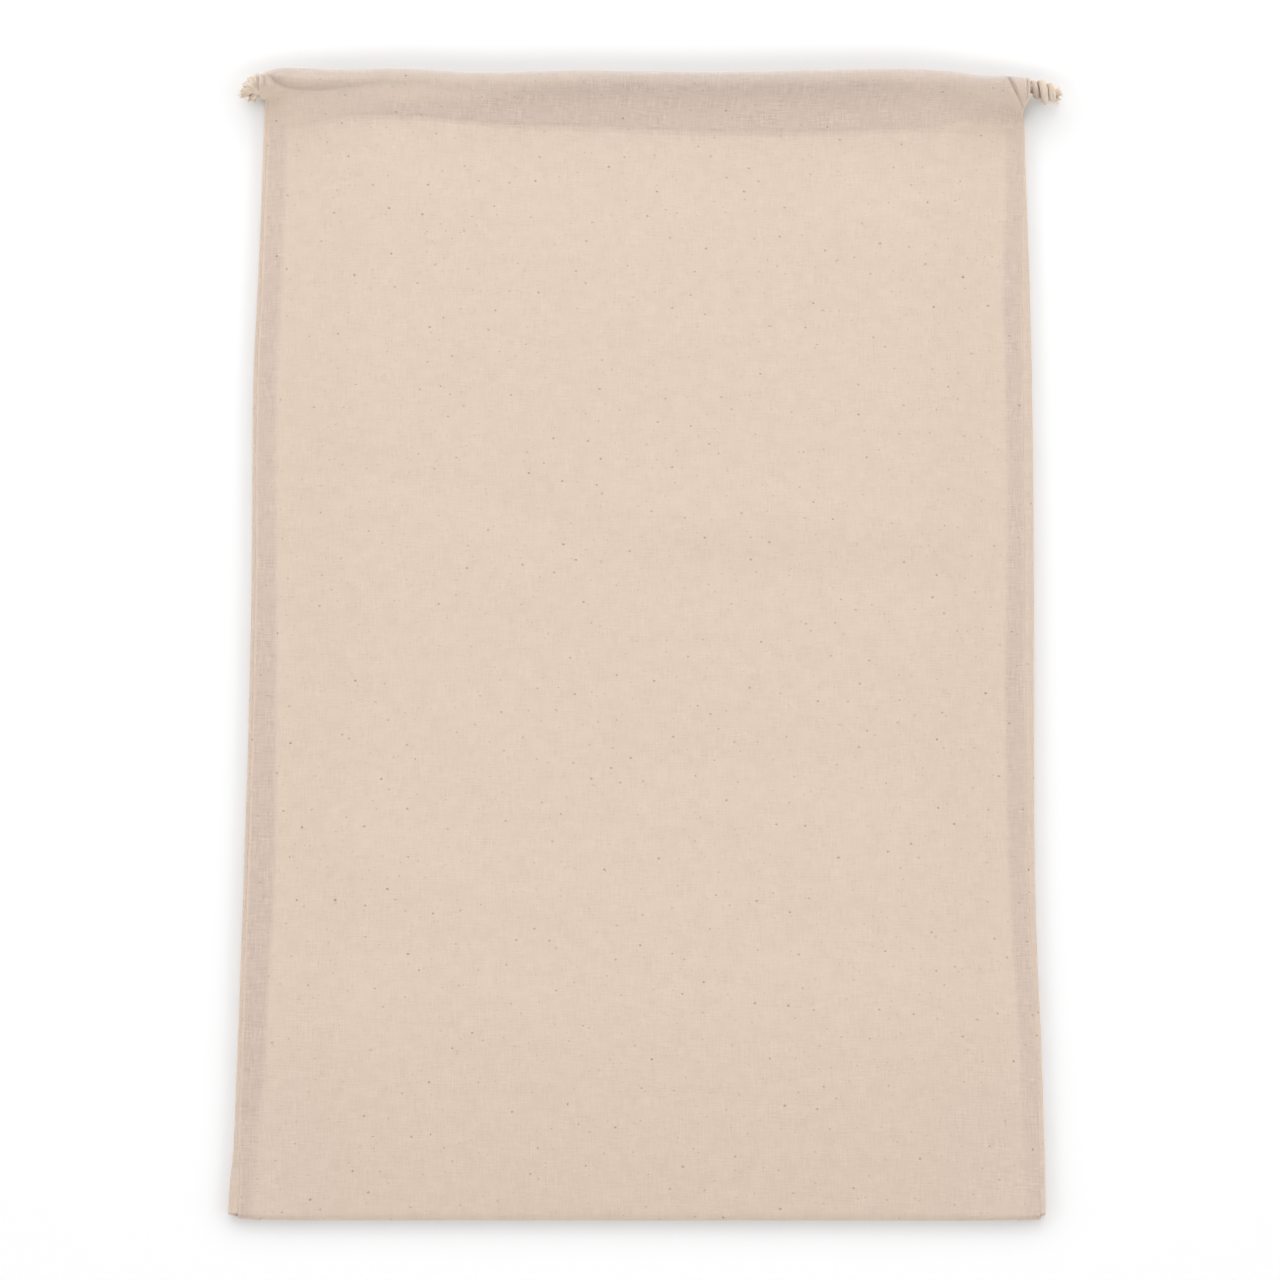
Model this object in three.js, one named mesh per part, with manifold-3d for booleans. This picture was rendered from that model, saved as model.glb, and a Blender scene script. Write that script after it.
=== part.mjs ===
// Drawstring bag of unbleached cotton, lying empty on its back with its mouth towards +Y.
// Millimetres, +Z up. The origin is on the floor, under the middle of the bag.
import * as THREE from "three";
import { mergeVertices } from "three/addons/utils/BufferGeometryUtils.js";
import Module from "manifold-3d";

// Driving dimensions
const BAG_LENGTH = 750; // bottom fold to mouth edge
const CLOTH = 1; // one layer of cloth
const LAYER_AIR = 0.2; // between two layers that are sewn together
const CORD = 5; // drawcord diameter
const CLEARANCE = 0.3; // between a piece and its neighbour
const CASING_DEPTH = 41; // mouth edge to the stitch line of the casing
const MOUTH_GAP = 6.8; // opening between the front and back casings, at the middle of the mouth
const END_GAP = 0.9; // the same at both ends of the mouth
const MOUTH_RISE = 85; // length over which the mouth opens from either end
const SEAM_BAND = 15; // width of the pressed side seam with its allowances
const SEAM_LAYERS = 4; // front, back and two allowances
const BOTTOM_CORNER = 6; // radius of the two bottom corners
const SIDE_RISE = 66; // width over which the front rises from a seam band
const BOTTOM_RISE = 75; // length over which the front rises from the bottom fold
const FOLD_ROOM = 1.2; // depth kept for the folds of the front
const TUNNEL_ROOM = 0.6; // room round a cord in its casing
const LANE_PITCH = CORD + 3 * LAYER_AIR; // between the two cords of one casing
const BACK_SETBACK = 1.5; // the back mouth edge lies this far below the front one
const PANEL_OVERLAP = 1.5; // how far a panel runs on into the layers of its casing
const PANEL_STEP = { height: 0.35, length: 4 }; // rise of the back panel where it runs into its casing
const STITCH_PULL = 130; // length of the front that an uneven stitch line pulls askew
const SHOULDER = 3; // from the lower cord to where the casing's layers start to close
const TUNNEL_INSET = { left: 1.5, right: 4 }; // from the side edges to the ends of the tunnels
const LEFT_CORD_LANE = 1; // lane 0 lies next to the mouth edge, lane 1 below it
const RIGHT_CORD_LANE = 0;
const LANE_GROOVE = { depth: 1, start: 12, end: 70 }; // between the cords of the front, from its left end

// The bag's two side edges, bottom to mouth, as unevenly as it lies
const OUTLINE = [
  { y: -375, left: -252.4, right: 247.6 },
  { y: -335, left: -250.2, right: 247.7 },
  { y: -250, left: -248.6, right: 247 },
  { y: -150, left: -247.7, right: 245.9 },
  { y: -50, left: -246.8, right: 247.5 },
  { y: 50, left: -247.3, right: 249.7 },
  { y: 170, left: -249.2, right: 251.5 },
  { y: 280, left: -246.8, right: 250.8 },
  { y: 375, left: -245.5, right: 251.3 },
];

// Rise and fall of the mouth edge, left to right
const MOUTH_EDGE = [
  { x: -250, rise: 0.5 },
  { x: -232, rise: 1.8 },
  { x: -191, rise: -0.3 },
  { x: -158, rise: 1 },
  { x: -109, rise: -2.2 },
  { x: -43, rise: -0.8 },
  { x: 39, rise: -2.2 },
  { x: 105, rise: -0.8 },
  { x: 154, rise: 0.4 },
  { x: 203, rise: -2.2 },
  { x: 252, rise: -4.2 },
];

// How much higher than its nominal depth the front casing's stitch line lies, left to right
const STITCH_LINE = [
  { x: -250, lift: 1 },
  { x: -205, lift: 5 },
  { x: -150, lift: 9 },
  { x: -90, lift: 5 },
  { x: -20, lift: 1 },
  { x: 252, lift: 0 },
];

// Soft storage folds of the front: a trough has a depth above zero, a ridge below
const FOLDS = [
  { from: [-195, 107], to: [-30, 62], depth: 1.1, reach: 17 },
  { from: [-30, 66], to: [215, 60], depth: -0.8, reach: 20 },
  { from: [20, 34], to: [210, 30], depth: 0.9, reach: 20 },
  { from: [0, -92], to: [215, -96], depth: 0.8, reach: 22 },
  { from: [85, -200], to: [220, -204], depth: 0.7, reach: 20 },
  { from: [-200, -150], to: [-60, -185], depth: -0.6, reach: 26 },
  { from: [150, 306], to: [225, 300], depth: 0.9, reach: 20 },
  { from: [-150, 285], to: [-60, 240], depth: -0.5, reach: 30 },
];

// The front casing's ends: its tunnel ends along the line from slit to top, and under the outer layer,
// which reaches on over the cords as a lip, from inner to outer
const CASING_ENDS = {
  left: { top: [-242.8, 380], slit: [-242.8, 352.5], inner: -241.5, outer: -248 },
  right: { top: [236.4, 380], slit: [251.3, 346.7], inner: 240, outer: 253.9 },
};
const LIP_DROP = 0.02; // from the face of the casing down to that of its lips

// A pleat runs down the right end of the front casing
const PLEAT = { points: [[241.6, 368.5], [246, 358.6], [250.2, 349]], radius: 1.1, rise: 0.2 };

// Knots: where each starts, the way its tail points (degrees from +X), its turns and where they begin
// (degrees), and how far above the middle of the knot the cord's strands enter it
const KNOTS = {
  left: { start: [-249.6, 363.6], heading: 214, turns: 2.25, phase: 60, entry: 0 },
  right: { start: [256.7, 365], heading: -6, turns: 2.1, phase: 75, entry: 1.2 },
};
const KNOT_CORE = { radius: 3.4, taper: 1 }; // the strands inside the turns, tapering to the tail
const KNOT_PITCH = CORD + LAYER_AIR;
const TAIL = { length: 4.4, neck: 0.6, neckRadius: 2.7, tipRadius: 3.3 }; // neck: share of its length
const KNOT_LIFT = 0.2; // from the floor to the underside of a knot
const TURN_LEAD = 1; // straight cord kept before the half turn at a slit
const STRAND_SPREAD = 2.65; // half the distance between the two cord ends at a knot
const STRAND_LEAD = 2.6; // length of cord that turns towards a knot
const STRAND_TIP = 0.8; // length of cord in line with its knot

// Fineness of the faces
const EDGE_STEPS = [0, 0.8, 2.4, SEAM_BAND, 25, 39, 57, SEAM_BAND + SIDE_RISE];
const EDGE_ROUNDING = [0.35, 0.8]; // share of the edge's thickness at the two outermost steps
const MIDDLE_COLUMNS = 7;
const FOLD_STEPS = [0, 0.7, 2.4, 6, 15, 29, 47, 66, 90]; // from the bottom fold
const ROW_SPACING = 31;
const LAST_ROW = 14; // from the last even row to the stitch line
const TUNNEL_COLUMNS = 24;
const SLOPE_MARKS = [0.25, 0.6]; // shares of the way from the stitch line to the shoulder
const TUNNEL_TIP = { share: 0.12, half: 0.2 }; // where the tunnel ends, and half its height there
const ROLL_ANGLES = [-90, -54, -18, 18, 54, 90];
const LIP_ANGLES = [90, 60, 30]; // round the roll, where a lip ends
const CORD_SIDES = 8;
const CORE_SIDES = 10;
const TURN_STEPS = 14; // in one turn of a knot
const LOOP_STEPS = 7; // in the half turn of a drawcord at the slit

// Sizes that follow from these
const BOTTOM = -BAG_LENGTH / 2;
const MOUTH = BAG_LENGTH / 2;
const STITCH = MOUTH - CASING_DEPTH;
const SEAM_EDGE = SEAM_LAYERS * CLOTH + 2 * LAYER_AIR;
const TUNNEL_RADIUS = CORD / 2 + TUNNEL_ROOM;
const ROLL_RADIUS = TUNNEL_RADIUS + CLOTH;
const ROLL = 2 * ROLL_RADIUS; // thickness of a casing round its cords
const LOFT = ROLL + MOUTH_GAP + CLOTH + FOLD_ROOM; // height of the front over the floor
const HEM_LAYERS = 2 * CLOTH + LAYER_AIR; // thickness of a casing along its stitch line
const KNOT_RADIUS = CORD; // of a turn's centre line
const KNOT_HEIGHT = KNOT_RADIUS + CORD / 2 + KNOT_LIFT;

const wasm = await Module();
wasm.setup();

const { clamp, degToRad, lerp, smoothstep } = THREE.MathUtils;

// Soft rise from 0 to 1 while t goes from 0 to 1.
const soften = (t) => smoothstep(t, 0, 1);

// Smooth value of one column of a table at a place between its rows.
function between(rows, place, column, at) {
  const last = rows.length - 1;
  const slope = (i) => {
    const before = rows[Math.max(i - 1, 0)];
    const after = rows[Math.min(i + 1, last)];
    return (after[column] - before[column]) / (after[place] - before[place]);
  };
  const found = rows.findIndex((row) => row[place] >= at);
  const i = found < 0 ? last : Math.max(found, 1);
  const span = rows[i][place] - rows[i - 1][place];
  const t = clamp((at - rows[i - 1][place]) / span, 0, 1);
  const bend = t * (1 - t) ** 2 * slope(i - 1) - t * t * (1 - t) * slope(i);
  return lerp(rows[i - 1][column], rows[i][column], soften(t)) + span * bend;
}

// Left and right edge of the bag, with its round bottom corners.
function sideEdges(y) {
  const depth = clamp(BOTTOM + BOTTOM_CORNER - y, 0, BOTTOM_CORNER);
  const inset = BOTTOM_CORNER - Math.sqrt(BOTTOM_CORNER ** 2 - depth ** 2);
  return {
    left: between(OUTLINE, "y", "left", y) + inset,
    right: between(OUTLINE, "y", "right", y) - inset,
  };
}

const mouthEdge = (x) => MOUTH + between(MOUTH_EDGE, "x", "rise", x);
const stitchLift = (x) => between(STITCH_LINE, "x", "lift", x);

// Sum of the storage folds at one place of the front.
function foldHeight(x, y) {
  const point = new THREE.Vector3(x, y, 0);
  const nearest = new THREE.Vector3();
  return FOLDS.reduce((height, { from, to, depth, reach }) => {
    const line = new THREE.Line3(new THREE.Vector3(...from, 0), new THREE.Vector3(...to, 0));
    line.closestPointToPoint(point, true, nearest);
    return height - depth * Math.exp(-((nearest.distanceTo(point) / reach) ** 2));
  }, 0);
}

// Height of the front's outer face over the floor.
function frontHeight(x, y) {
  const { left, right } = sideEdges(y);
  const inside = Math.min(x - left, right - x) - SEAM_BAND;
  const rise = soften(inside / SIDE_RISE) * soften((y - BOTTOM) / BOTTOM_RISE);
  return SEAM_EDGE + rise * (LOFT - SEAM_EDGE + foldHeight(x, y));
}

// Faces are kept as a plain list of corners, three to a triangle.
// A ring runs anticlockwise seen from the side that the next ring lies on.
function strip(faces, ring, next) {
  ring.forEach((point, i) => {
    const j = (i + 1) % ring.length;
    faces.push(point, ring[j], next[j], point, next[j], next[i]);
  });
}

function loft(faces, rings) {
  rings.slice(1).forEach((ring, i) => strip(faces, rings[i], ring));
}

// A narrow end between a front row and a back row of points.
function seamEnd(faces, front, back) {
  for (let i = 0; i + 1 < front.length; i += 1) {
    faces.push(front[i], back[i], back[i + 1], front[i], back[i + 1], front[i + 1]);
  }
}

function solidOf(geometry) {
  const bare = geometry.clone();
  Object.keys(bare.attributes).forEach((name) => name !== "position" && bare.deleteAttribute(name));
  const merged = mergeVertices(bare, 1e-4);
  const vertProperties = new Float32Array(merged.attributes.position.array);
  const triVerts = new Uint32Array(merged.index.array);
  return new wasm.Manifold(new wasm.Mesh({ numProp: 3, vertProperties, triVerts }));
}

function solidFrom(faces) {
  const geometry = new THREE.BufferGeometry().setFromPoints(faces);
  return solidOf(geometry);
}

function geometryOf(solid) {
  const { vertProperties, triVerts } = solid.getMesh();
  const geometry = new THREE.BufferGeometry();
  geometry.setAttribute("position", new THREE.BufferAttribute(vertProperties, 3));
  geometry.setIndex(new THREE.BufferAttribute(triVerts, 1));
  geometry.computeVertexNormals();
  return geometry;
}

// Round tube through a row of points, with a radius at each and flat ends.
function tube(points, radii, sides) {
  const tangents = points.map((_, i) => {
    const before = points[Math.max(i - 1, 0)];
    const after = points[Math.min(i + 1, points.length - 1)];
    return after.clone().sub(before).normalize();
  });
  const across = new THREE.Vector3(0, 0, 1);
  const rings = points.map((centre, i) => {
    across.addScaledVector(tangents[i], -across.dot(tangents[i])).normalize();
    const beside = tangents[i].clone().cross(across);
    return Array.from({ length: sides }, (_, k) => {
      const angle = (2 * Math.PI * k) / sides;
      const corner = centre.clone().addScaledVector(across, radii[i] * Math.cos(angle));
      return corner.addScaledVector(beside, radii[i] * Math.sin(angle));
    });
  });
  const faces = [];
  loft(faces, rings);
  const first = rings[0];
  const last = rings[rings.length - 1];
  for (let k = 1; k + 1 < sides; k += 1) {
    faces.push(first[0], first[k + 1], first[k], last[0], last[k], last[k + 1]);
  }
  return solidFrom(faces);
}

// Columns across the bag, close together towards its side edges.
function columns(y) {
  const { left, right } = sideEdges(y);
  const inset = SEAM_BAND + SIDE_RISE;
  const middle = Array.from({ length: MIDDLE_COLUMNS }, (_, i) =>
    lerp(left + inset, right - inset, (i + 1) / (MIDDLE_COLUMNS + 1)),
  );
  const leftSide = EDGE_STEPS.map((step) => left + step);
  const rightSide = EDGE_STEPS.map((step) => right - step).reverse();
  return [...leftSide, ...middle, ...rightSide];
}

// Rows along the bag, from the bottom fold to just inside the casings.
function bodyRows() {
  const fold = FOLD_STEPS.map((step) => BOTTOM + step);
  const start = fold[fold.length - 1];
  const end = STITCH - LAST_ROW;
  const count = Math.round((end - start) / ROW_SPACING);
  const even = Array.from({ length: count }, (_, i) => lerp(start, end, (i + 1) / count));
  return [...fold, ...even, STITCH - PANEL_STEP.length, STITCH + PANEL_OVERLAP];
}

// Front and back points of the panels' outer faces at one row.
function outerRow(y, rounding) {
  const xs = columns(y);
  const pull = smoothstep(y, STITCH - STITCH_PULL, STITCH - PANEL_STEP.length);
  const step = PANEL_STEP.height * smoothstep(y, STITCH - PANEL_STEP.length, STITCH + PANEL_OVERLAP);
  const middle = SEAM_EDGE / 2;
  const share = xs.map((_, i) => {
    const fromEdge = Math.min(i, xs.length - 1 - i);
    return rounding * (EDGE_ROUNDING[fromEdge] ?? 1);
  });
  const front = xs.map((x, i) => {
    const z = lerp(middle, frontHeight(x, y), share[i]);
    return new THREE.Vector3(x, y + pull * stitchLift(x), z);
  });
  const back = xs.map((x, i) => new THREE.Vector3(x, y, lerp(middle, step, share[i])));
  return { front, back };
}

// The same for the inner faces, which start at the inside of the seam bands.
function innerRow(y) {
  const { front, back } = outerRow(y, 1);
  const band = EDGE_STEPS.indexOf(SEAM_BAND);
  const middle = SEAM_EDGE / 2;
  const inward = (row, offset) =>
    row.map((point, i) => {
      const mirrored = i > row.length / 2;
      const fromEdge = mirrored ? row.length - 1 - i : i;
      const corner = row[mirrored ? row.length - 1 - band : band];
      const climb = Math.min((fromEdge + 1) / (band + 1), 1);
      const at = fromEdge < band ? corner : point;
      return new THREE.Vector3(at.x, at.y, lerp(middle, at.z + offset, climb));
    });
  return { front: inward(front, -CLOTH), back: inward(back, CLOTH) };
}

// The two panels with their bottom fold and side seams: a flat pocket, open towards the mouth.
function panels() {
  const ys = bodyRows();
  const foldWall = BOTTOM + CLOTH + CLEARANCE;
  const outer = ys.map((y, i) => outerRow(y, EDGE_ROUNDING[i] ?? 1));
  const inner = [foldWall, ...ys.filter((y) => y > foldWall)].map(innerRow);
  const ring = ({ front, back }) => [...front, ...back.slice().reverse()];
  const faces = [];
  loft(faces, outer.map(ring));
  loft(faces, inner.map(ring).reverse());
  seamEnd(faces, outer[0].front, outer[0].back);
  seamEnd(faces, inner[0].back, inner[0].front);
  strip(faces, ring(outer[outer.length - 1]), ring(inner[inner.length - 1]));
  return solidFrom(faces);
}

// Place of one casing at x: its mouth edge, stitch line and heights.
function casingAt(x, side) {
  const front = side === "front";
  const { left, right } = sideEdges(MOUTH);
  const fromEnd = Math.min(x - left, right - x);
  const gap = lerp(END_GAP, MOUTH_GAP, soften(fromEnd / MOUTH_RISE));
  const stitch = STITCH + (front ? stitchLift(x) : 0);
  const fromTunnel = x - left - TUNNEL_INSET.left;
  const groove = soften(fromTunnel / LANE_GROOVE.start) * (1 - soften(fromTunnel / LANE_GROOVE.end));
  return {
    edge: mouthEdge(x) - (front ? 0 : BACK_SETBACK),
    stitch,
    low: front ? ROLL + gap : 0,
    hem: front ? frontHeight(x, stitch) - CLOTH / 2 - HEM_LAYERS / 2 : 0,
    groove: front ? LANE_GROOVE.depth * groove : 0,
  };
}

// Centre of one drawcord lane of a casing at x.
function laneAt(x, side, lane) {
  const { edge, low } = casingAt(x, side);
  return new THREE.Vector3(x, edge - ROLL_RADIUS - lane * LANE_PITCH, low + ROLL_RADIUS);
}

// Section of a casing at x: outer face, or with inset the face of its cord tunnel.
function casingSection(x, side, inset) {
  const { edge, stitch, low, hem, groove } = casingAt(x, side);
  const [laneOne, laneTwo] = [0, 1].map((lane) => laneAt(x, side, lane).y);
  const shoulder = laneTwo - SHOULDER;
  const point = (y, z) => new THREE.Vector3(x, y, z);
  const slope = (share, upper) => {
    const start = upper ? hem + HEM_LAYERS : hem;
    const end = upper ? low + ROLL : low;
    return point(lerp(stitch, shoulder, share), lerp(start, end, share) + (upper ? -inset : inset));
  };
  const tip = (upper) => {
    const { share, half } = TUNNEL_TIP;
    const middle = (slope(share, true).z + slope(share, false).z) / 2;
    return point(lerp(stitch, shoulder, share), middle + (upper ? half : -half));
  };
  const end = (upper) => (inset ? tip(upper) : slope(0, upper));
  const roll = ROLL_ANGLES.map((degrees) => {
    const angle = degToRad(degrees);
    const radius = ROLL_RADIUS - inset;
    const centre = low + ROLL_RADIUS;
    return point(edge - ROLL_RADIUS + radius * Math.cos(angle), centre + radius * Math.sin(angle));
  });
  const top = low + ROLL - inset;
  return [
    end(false),
    ...SLOPE_MARKS.map((share) => slope(share, false)),
    point(shoulder, low + inset),
    ...roll,
    point((laneOne + laneTwo) / 2, top - groove),
    point(laneTwo, top),
    ...SLOPE_MARKS.map((share) => slope(share, true)).reverse(),
    end(true),
  ];
}

// Columns along a tunnel, from its left end to its right end.
function tunnelColumns() {
  const { left, right } = sideEdges(MOUTH);
  const start = left + TUNNEL_INSET.left;
  const end = right - TUNNEL_INSET.right;
  return Array.from({ length: TUNNEL_COLUMNS }, (_, i) => lerp(start, end, i / (TUNNEL_COLUMNS - 1)));
}

// The turned-in hem of one panel: a tunnel along the mouth, open at both ends.
function casing(side) {
  const xs = tunnelColumns();
  const outer = xs.map((x) => casingSection(x, side, 0));
  const inner = xs.map((x) => casingSection(x, side, CLOTH));
  const faces = [];
  loft(faces, outer);
  loft(faces, inner.slice().reverse());
  strip(faces, inner[0], outer[0]);
  strip(faces, outer[outer.length - 1], inner[inner.length - 1]);
  return solidFrom(faces);
}

// Height of the front casing's outer face, below its roll.
function casingTop(x, y) {
  const { stitch, low, hem } = casingAt(x, "front");
  const shoulder = laneAt(x, "front", 1).y - SHOULDER;
  const share = clamp((y - stitch) / (shoulder - stitch), 0, 1);
  return lerp(hem + HEM_LAYERS, low + ROLL, share);
}

// What is taken off one end of the front casing, past the end of its tunnel.
function casingEndCut({ top, slit, outer }) {
  const corners = [slit, top, [2 * outer - top[0], top[1]], [2 * outer - top[0], slit[1]]];
  const shape = new THREE.Shape(corners.map((corner) => new THREE.Vector2(...corner)));
  return solidOf(new THREE.ExtrudeGeometry(shape, { depth: 3 * ROLL, bevelEnabled: false }));
}

// The lip at one end: the outer layer alone, from the slit up and a little way round the roll.
function lip({ slit, inner, outer }) {
  const section = (x) => {
    const lane = laneAt(x, "front", 0);
    const face = (y, depth) => new THREE.Vector3(x, y, casingTop(x, y) - LIP_DROP - depth);
    const round = (degrees, depth) => {
      const reach = ROLL_RADIUS - LIP_DROP - depth;
      const angle = degToRad(degrees);
      return new THREE.Vector3(x, lane.y + reach * Math.cos(angle), lane.z + reach * Math.sin(angle));
    };
    const ys = [0, 0.5, 1].map((share) => lerp(slit[1], laneAt(x, "front", 1).y, share));
    const side = (depth) => [...ys.map((y) => face(y, depth)), ...LIP_ANGLES.map((a) => round(a, depth))];
    return [...side(CLOTH), ...side(0).reverse()];
  };
  const rings = [Math.min(inner, outer), Math.max(inner, outer)].map(section);
  const faces = [];
  loft(faces, rings);
  const half = rings[0].length / 2;
  const [first, last] = rings;
  seamEnd(faces, first.slice(0, half), first.slice(half).reverse());
  seamEnd(faces, last.slice(half).reverse(), last.slice(0, half));
  return solidFrom(faces);
}

// The pleat that the pull of the knot leaves in the right end of the front casing.
function pleat() {
  const { points, radius, rise } = PLEAT;
  const line = points.map(([x, y]) => new THREE.Vector3(x, y, casingTop(x, y) + rise));
  return tube(line, line.map(() => radius), CORD_SIDES);
}

function bagCloth() {
  const { left, right } = CASING_ENDS;
  const tunnel = casing("front").subtract(casingEndCut(left)).subtract(casingEndCut(right));
  const front = tunnel.add(lip(left)).add(lip(right)).add(pleat());
  return panels().add(front).add(casing("back"));
}

// Point and direction of a knot's inner end.
function knotPlace(name) {
  const { start, heading } = KNOTS[name];
  const angle = degToRad(heading);
  return {
    start: new THREE.Vector3(...start, KNOT_HEIGHT),
    along: new THREE.Vector3(Math.cos(angle), Math.sin(angle), 0),
  };
}

// Route of one drawcord: knot, front casing, half turn at the far slit, back casing, knot.
function cordRoute(name, lane) {
  const toRight = name === "left" ? 1 : -1;
  const run = (side) => {
    const xs = tunnelColumns().map((x) => laneAt(x, side, lane));
    return toRight > 0 ? xs : xs.reverse();
  };
  const out = run("front");
  const home = run("back").reverse();
  const turnX = home[0].x;
  const leaving = out[out.length - 1].clone().setX(turnX);
  const entering = home[0].clone().setX(turnX);
  const radius = (leaving.z - entering.z) / 2;
  const turn = Array.from({ length: LOOP_STEPS }, (_, i) => {
    const angle = (Math.PI * (i + 1)) / (LOOP_STEPS + 1);
    const point = leaving.clone().lerp(entering, (1 - Math.cos(angle)) / 2);
    return point.setX(turnX + toRight * radius * Math.sin(angle));
  });
  const { start, along } = knotPlace(name);
  const strand = (spread) => {
    const enter = new THREE.Vector3(0, KNOTS[name].entry, 0);
    const end = start.clone().addScaledVector(along, -CLEARANCE).add(enter);
    end.z += spread;
    const tip = end.clone().addScaledVector(along, -STRAND_TIP);
    const lead = end.clone().addScaledVector(along, -STRAND_LEAD).add(enter);
    return [end, tip, lead];
  };
  const first = strand(STRAND_SPREAD);
  const last = strand(-STRAND_SPREAD).reverse();
  const inside = (point) => toRight * (turnX - point.x) > TURN_LEAD;
  const firstRun = out.filter(inside);
  const lastRun = home.filter(inside);
  return [...first, ...firstRun, leaving, ...turn, entering, ...lastRun, ...last];
}

function drawcord(name, lane) {
  const route = cordRoute(name, lane);
  return tube(route, route.map(() => CORD / 2), CORD_SIDES);
}

// A barrel of cord turns round the strands, with a short tail, along +X from the origin.
function knot({ turns, phase }) {
  const steps = Math.round(turns * TURN_STEPS);
  const wrap = Array.from({ length: steps + 1 }, (_, i) => {
    const angle = degToRad(phase) + (2 * Math.PI * i) / TURN_STEPS;
    const along = KNOT_PITCH / 2 + (KNOT_PITCH * i) / TURN_STEPS;
    return new THREE.Vector3(along, KNOT_RADIUS * Math.cos(angle), KNOT_RADIUS * Math.sin(angle));
  });
  const barrel = KNOT_PITCH * turns + CORD;
  const profile = [
    { along: 0, radius: KNOT_CORE.radius },
    { along: barrel - KNOT_CORE.taper, radius: KNOT_CORE.radius },
    { along: barrel, radius: CORD / 2 },
    { along: barrel + TAIL.length * TAIL.neck, radius: TAIL.neckRadius },
    { along: barrel + TAIL.length, radius: TAIL.tipRadius },
  ];
  const axis = profile.map(({ along }) => new THREE.Vector3(along, 0, 0));
  const core = tube(axis, profile.map(({ radius }) => radius), CORE_SIDES);
  return core.add(tube(wrap, wrap.map(() => CORD / 2), CORD_SIDES));
}

function cotton(color) {
  return new THREE.MeshStandardMaterial({ color, roughness: 0.92, metalness: 0 });
}

function piece(name, solid, color) {
  const mesh = new THREE.Mesh(geometryOf(solid), cotton(color));
  mesh.name = name;
  return mesh;
}

const CLOTH_COLOUR = 0xe2cfbe;
const CORD_COLOUR = 0xdccbb6;

const bag = new THREE.Group();
bag.add(piece("bag_cloth", bagCloth(), CLOTH_COLOUR));
bag.add(piece("drawcord_left", drawcord("left", LEFT_CORD_LANE), CORD_COLOUR));
bag.add(piece("drawcord_right", drawcord("right", RIGHT_CORD_LANE), CORD_COLOUR));
for (const name of ["left", "right"]) {
  const tied = piece(`knot_${name}`, knot(KNOTS[name]), CORD_COLOUR);
  tied.position.copy(knotPlace(name).start);
  tied.rotation.z = degToRad(KNOTS[name].heading);
  bag.add(tied);
}

export default bag;
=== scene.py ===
"""Looks of a cotton drawstring bag that lies empty on its back: cloth, seams, casing, cords and knots.

The tables and the shape functions are in millimetres. Meshes, node trees and materials are in metres.
"""

import math
from collections import namedtuple

import bpy
import numpy as np
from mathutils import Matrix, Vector


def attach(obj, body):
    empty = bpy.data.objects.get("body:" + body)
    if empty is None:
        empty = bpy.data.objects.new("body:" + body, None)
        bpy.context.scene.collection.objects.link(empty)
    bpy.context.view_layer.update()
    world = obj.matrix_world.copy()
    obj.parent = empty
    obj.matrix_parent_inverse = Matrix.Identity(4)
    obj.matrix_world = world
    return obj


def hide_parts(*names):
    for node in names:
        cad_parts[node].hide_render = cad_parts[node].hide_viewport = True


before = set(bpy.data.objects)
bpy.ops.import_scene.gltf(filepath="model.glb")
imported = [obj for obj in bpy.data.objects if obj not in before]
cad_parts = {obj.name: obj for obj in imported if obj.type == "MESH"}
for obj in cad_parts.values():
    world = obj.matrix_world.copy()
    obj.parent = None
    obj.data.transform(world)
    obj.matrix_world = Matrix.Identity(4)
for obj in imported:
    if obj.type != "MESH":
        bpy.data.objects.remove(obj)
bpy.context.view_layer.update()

MM = 0.001
SEED = 7

# Sizes of the bag
BOTTOM = -375.5  # bottom fold
MOUTH = 375.0  # mouth edge
CASING_DEPTH = 41.0  # mouth edge to the stitch line
STITCH = MOUTH - CASING_DEPTH
CORD = 5.0  # drawcord diameter
ROLL_RADIUS = 4.1  # of the cloth where it turns over the cords
ROLL = 2 * ROLL_RADIUS
LANE_PITCH = 5.6  # between the two cords of one casing
SHOULDER = 3.0  # from the lower cord to where the casing's layers start to close
BACK_SETBACK = 1.5  # the back mouth edge lies this far below the front one
MOUTH_GAP = 6.8  # between the casings at the middle of the mouth
END_GAP = 0.9  # the same at both ends
MOUTH_RISE = 85.0  # length over which the mouth opens from either end
SEAM_EDGE = 5.0  # thickness of the bag along its side seams
SEAM_BAND = 15.0  # width of a pressed side seam
SIDE_RISE = 66.0  # width over which the front rises from a side seam
BOTTOM_RISE = 150.0  # length over which the front rises from the bottom fold
LOFT = ROLL + MOUTH_GAP + 2.2  # height of the front
HEM_LAYERS = 2.2  # thickness of a casing along its stitch line
STITCH_PULL = 130.0  # length of the front that the uneven stitch line pulls askew
CLOTH = 0.45  # thickness of the cloth
FOLD_REACH = 1.8  # depth of the bottom fold's rounding
EDGE_REACH = 1.4  # the same along the sides
LAYER = 0.7  # from one layer of cloth to the next inside it
ALLOWANCE = 14.0  # cloth that is turned inside along each seam
TURN_UNDER = 10.0  # cloth that is turned under at a hem's edge
HEM_LIP = 2.5  # hem below its stitch line
FLAT_HALF = 246.0  # half the width between the seam lines, laid flat
STITCH_SINK = 0.5  # of the stitch line into the front
CORD_CLEARANCE = 0.15  # between a drawcord and the casing over it
STITCH_SIZES = {"Pitch": 0.0032, "Length": 0.0023, "Thickness": 0.0005}  # in metres

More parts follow.
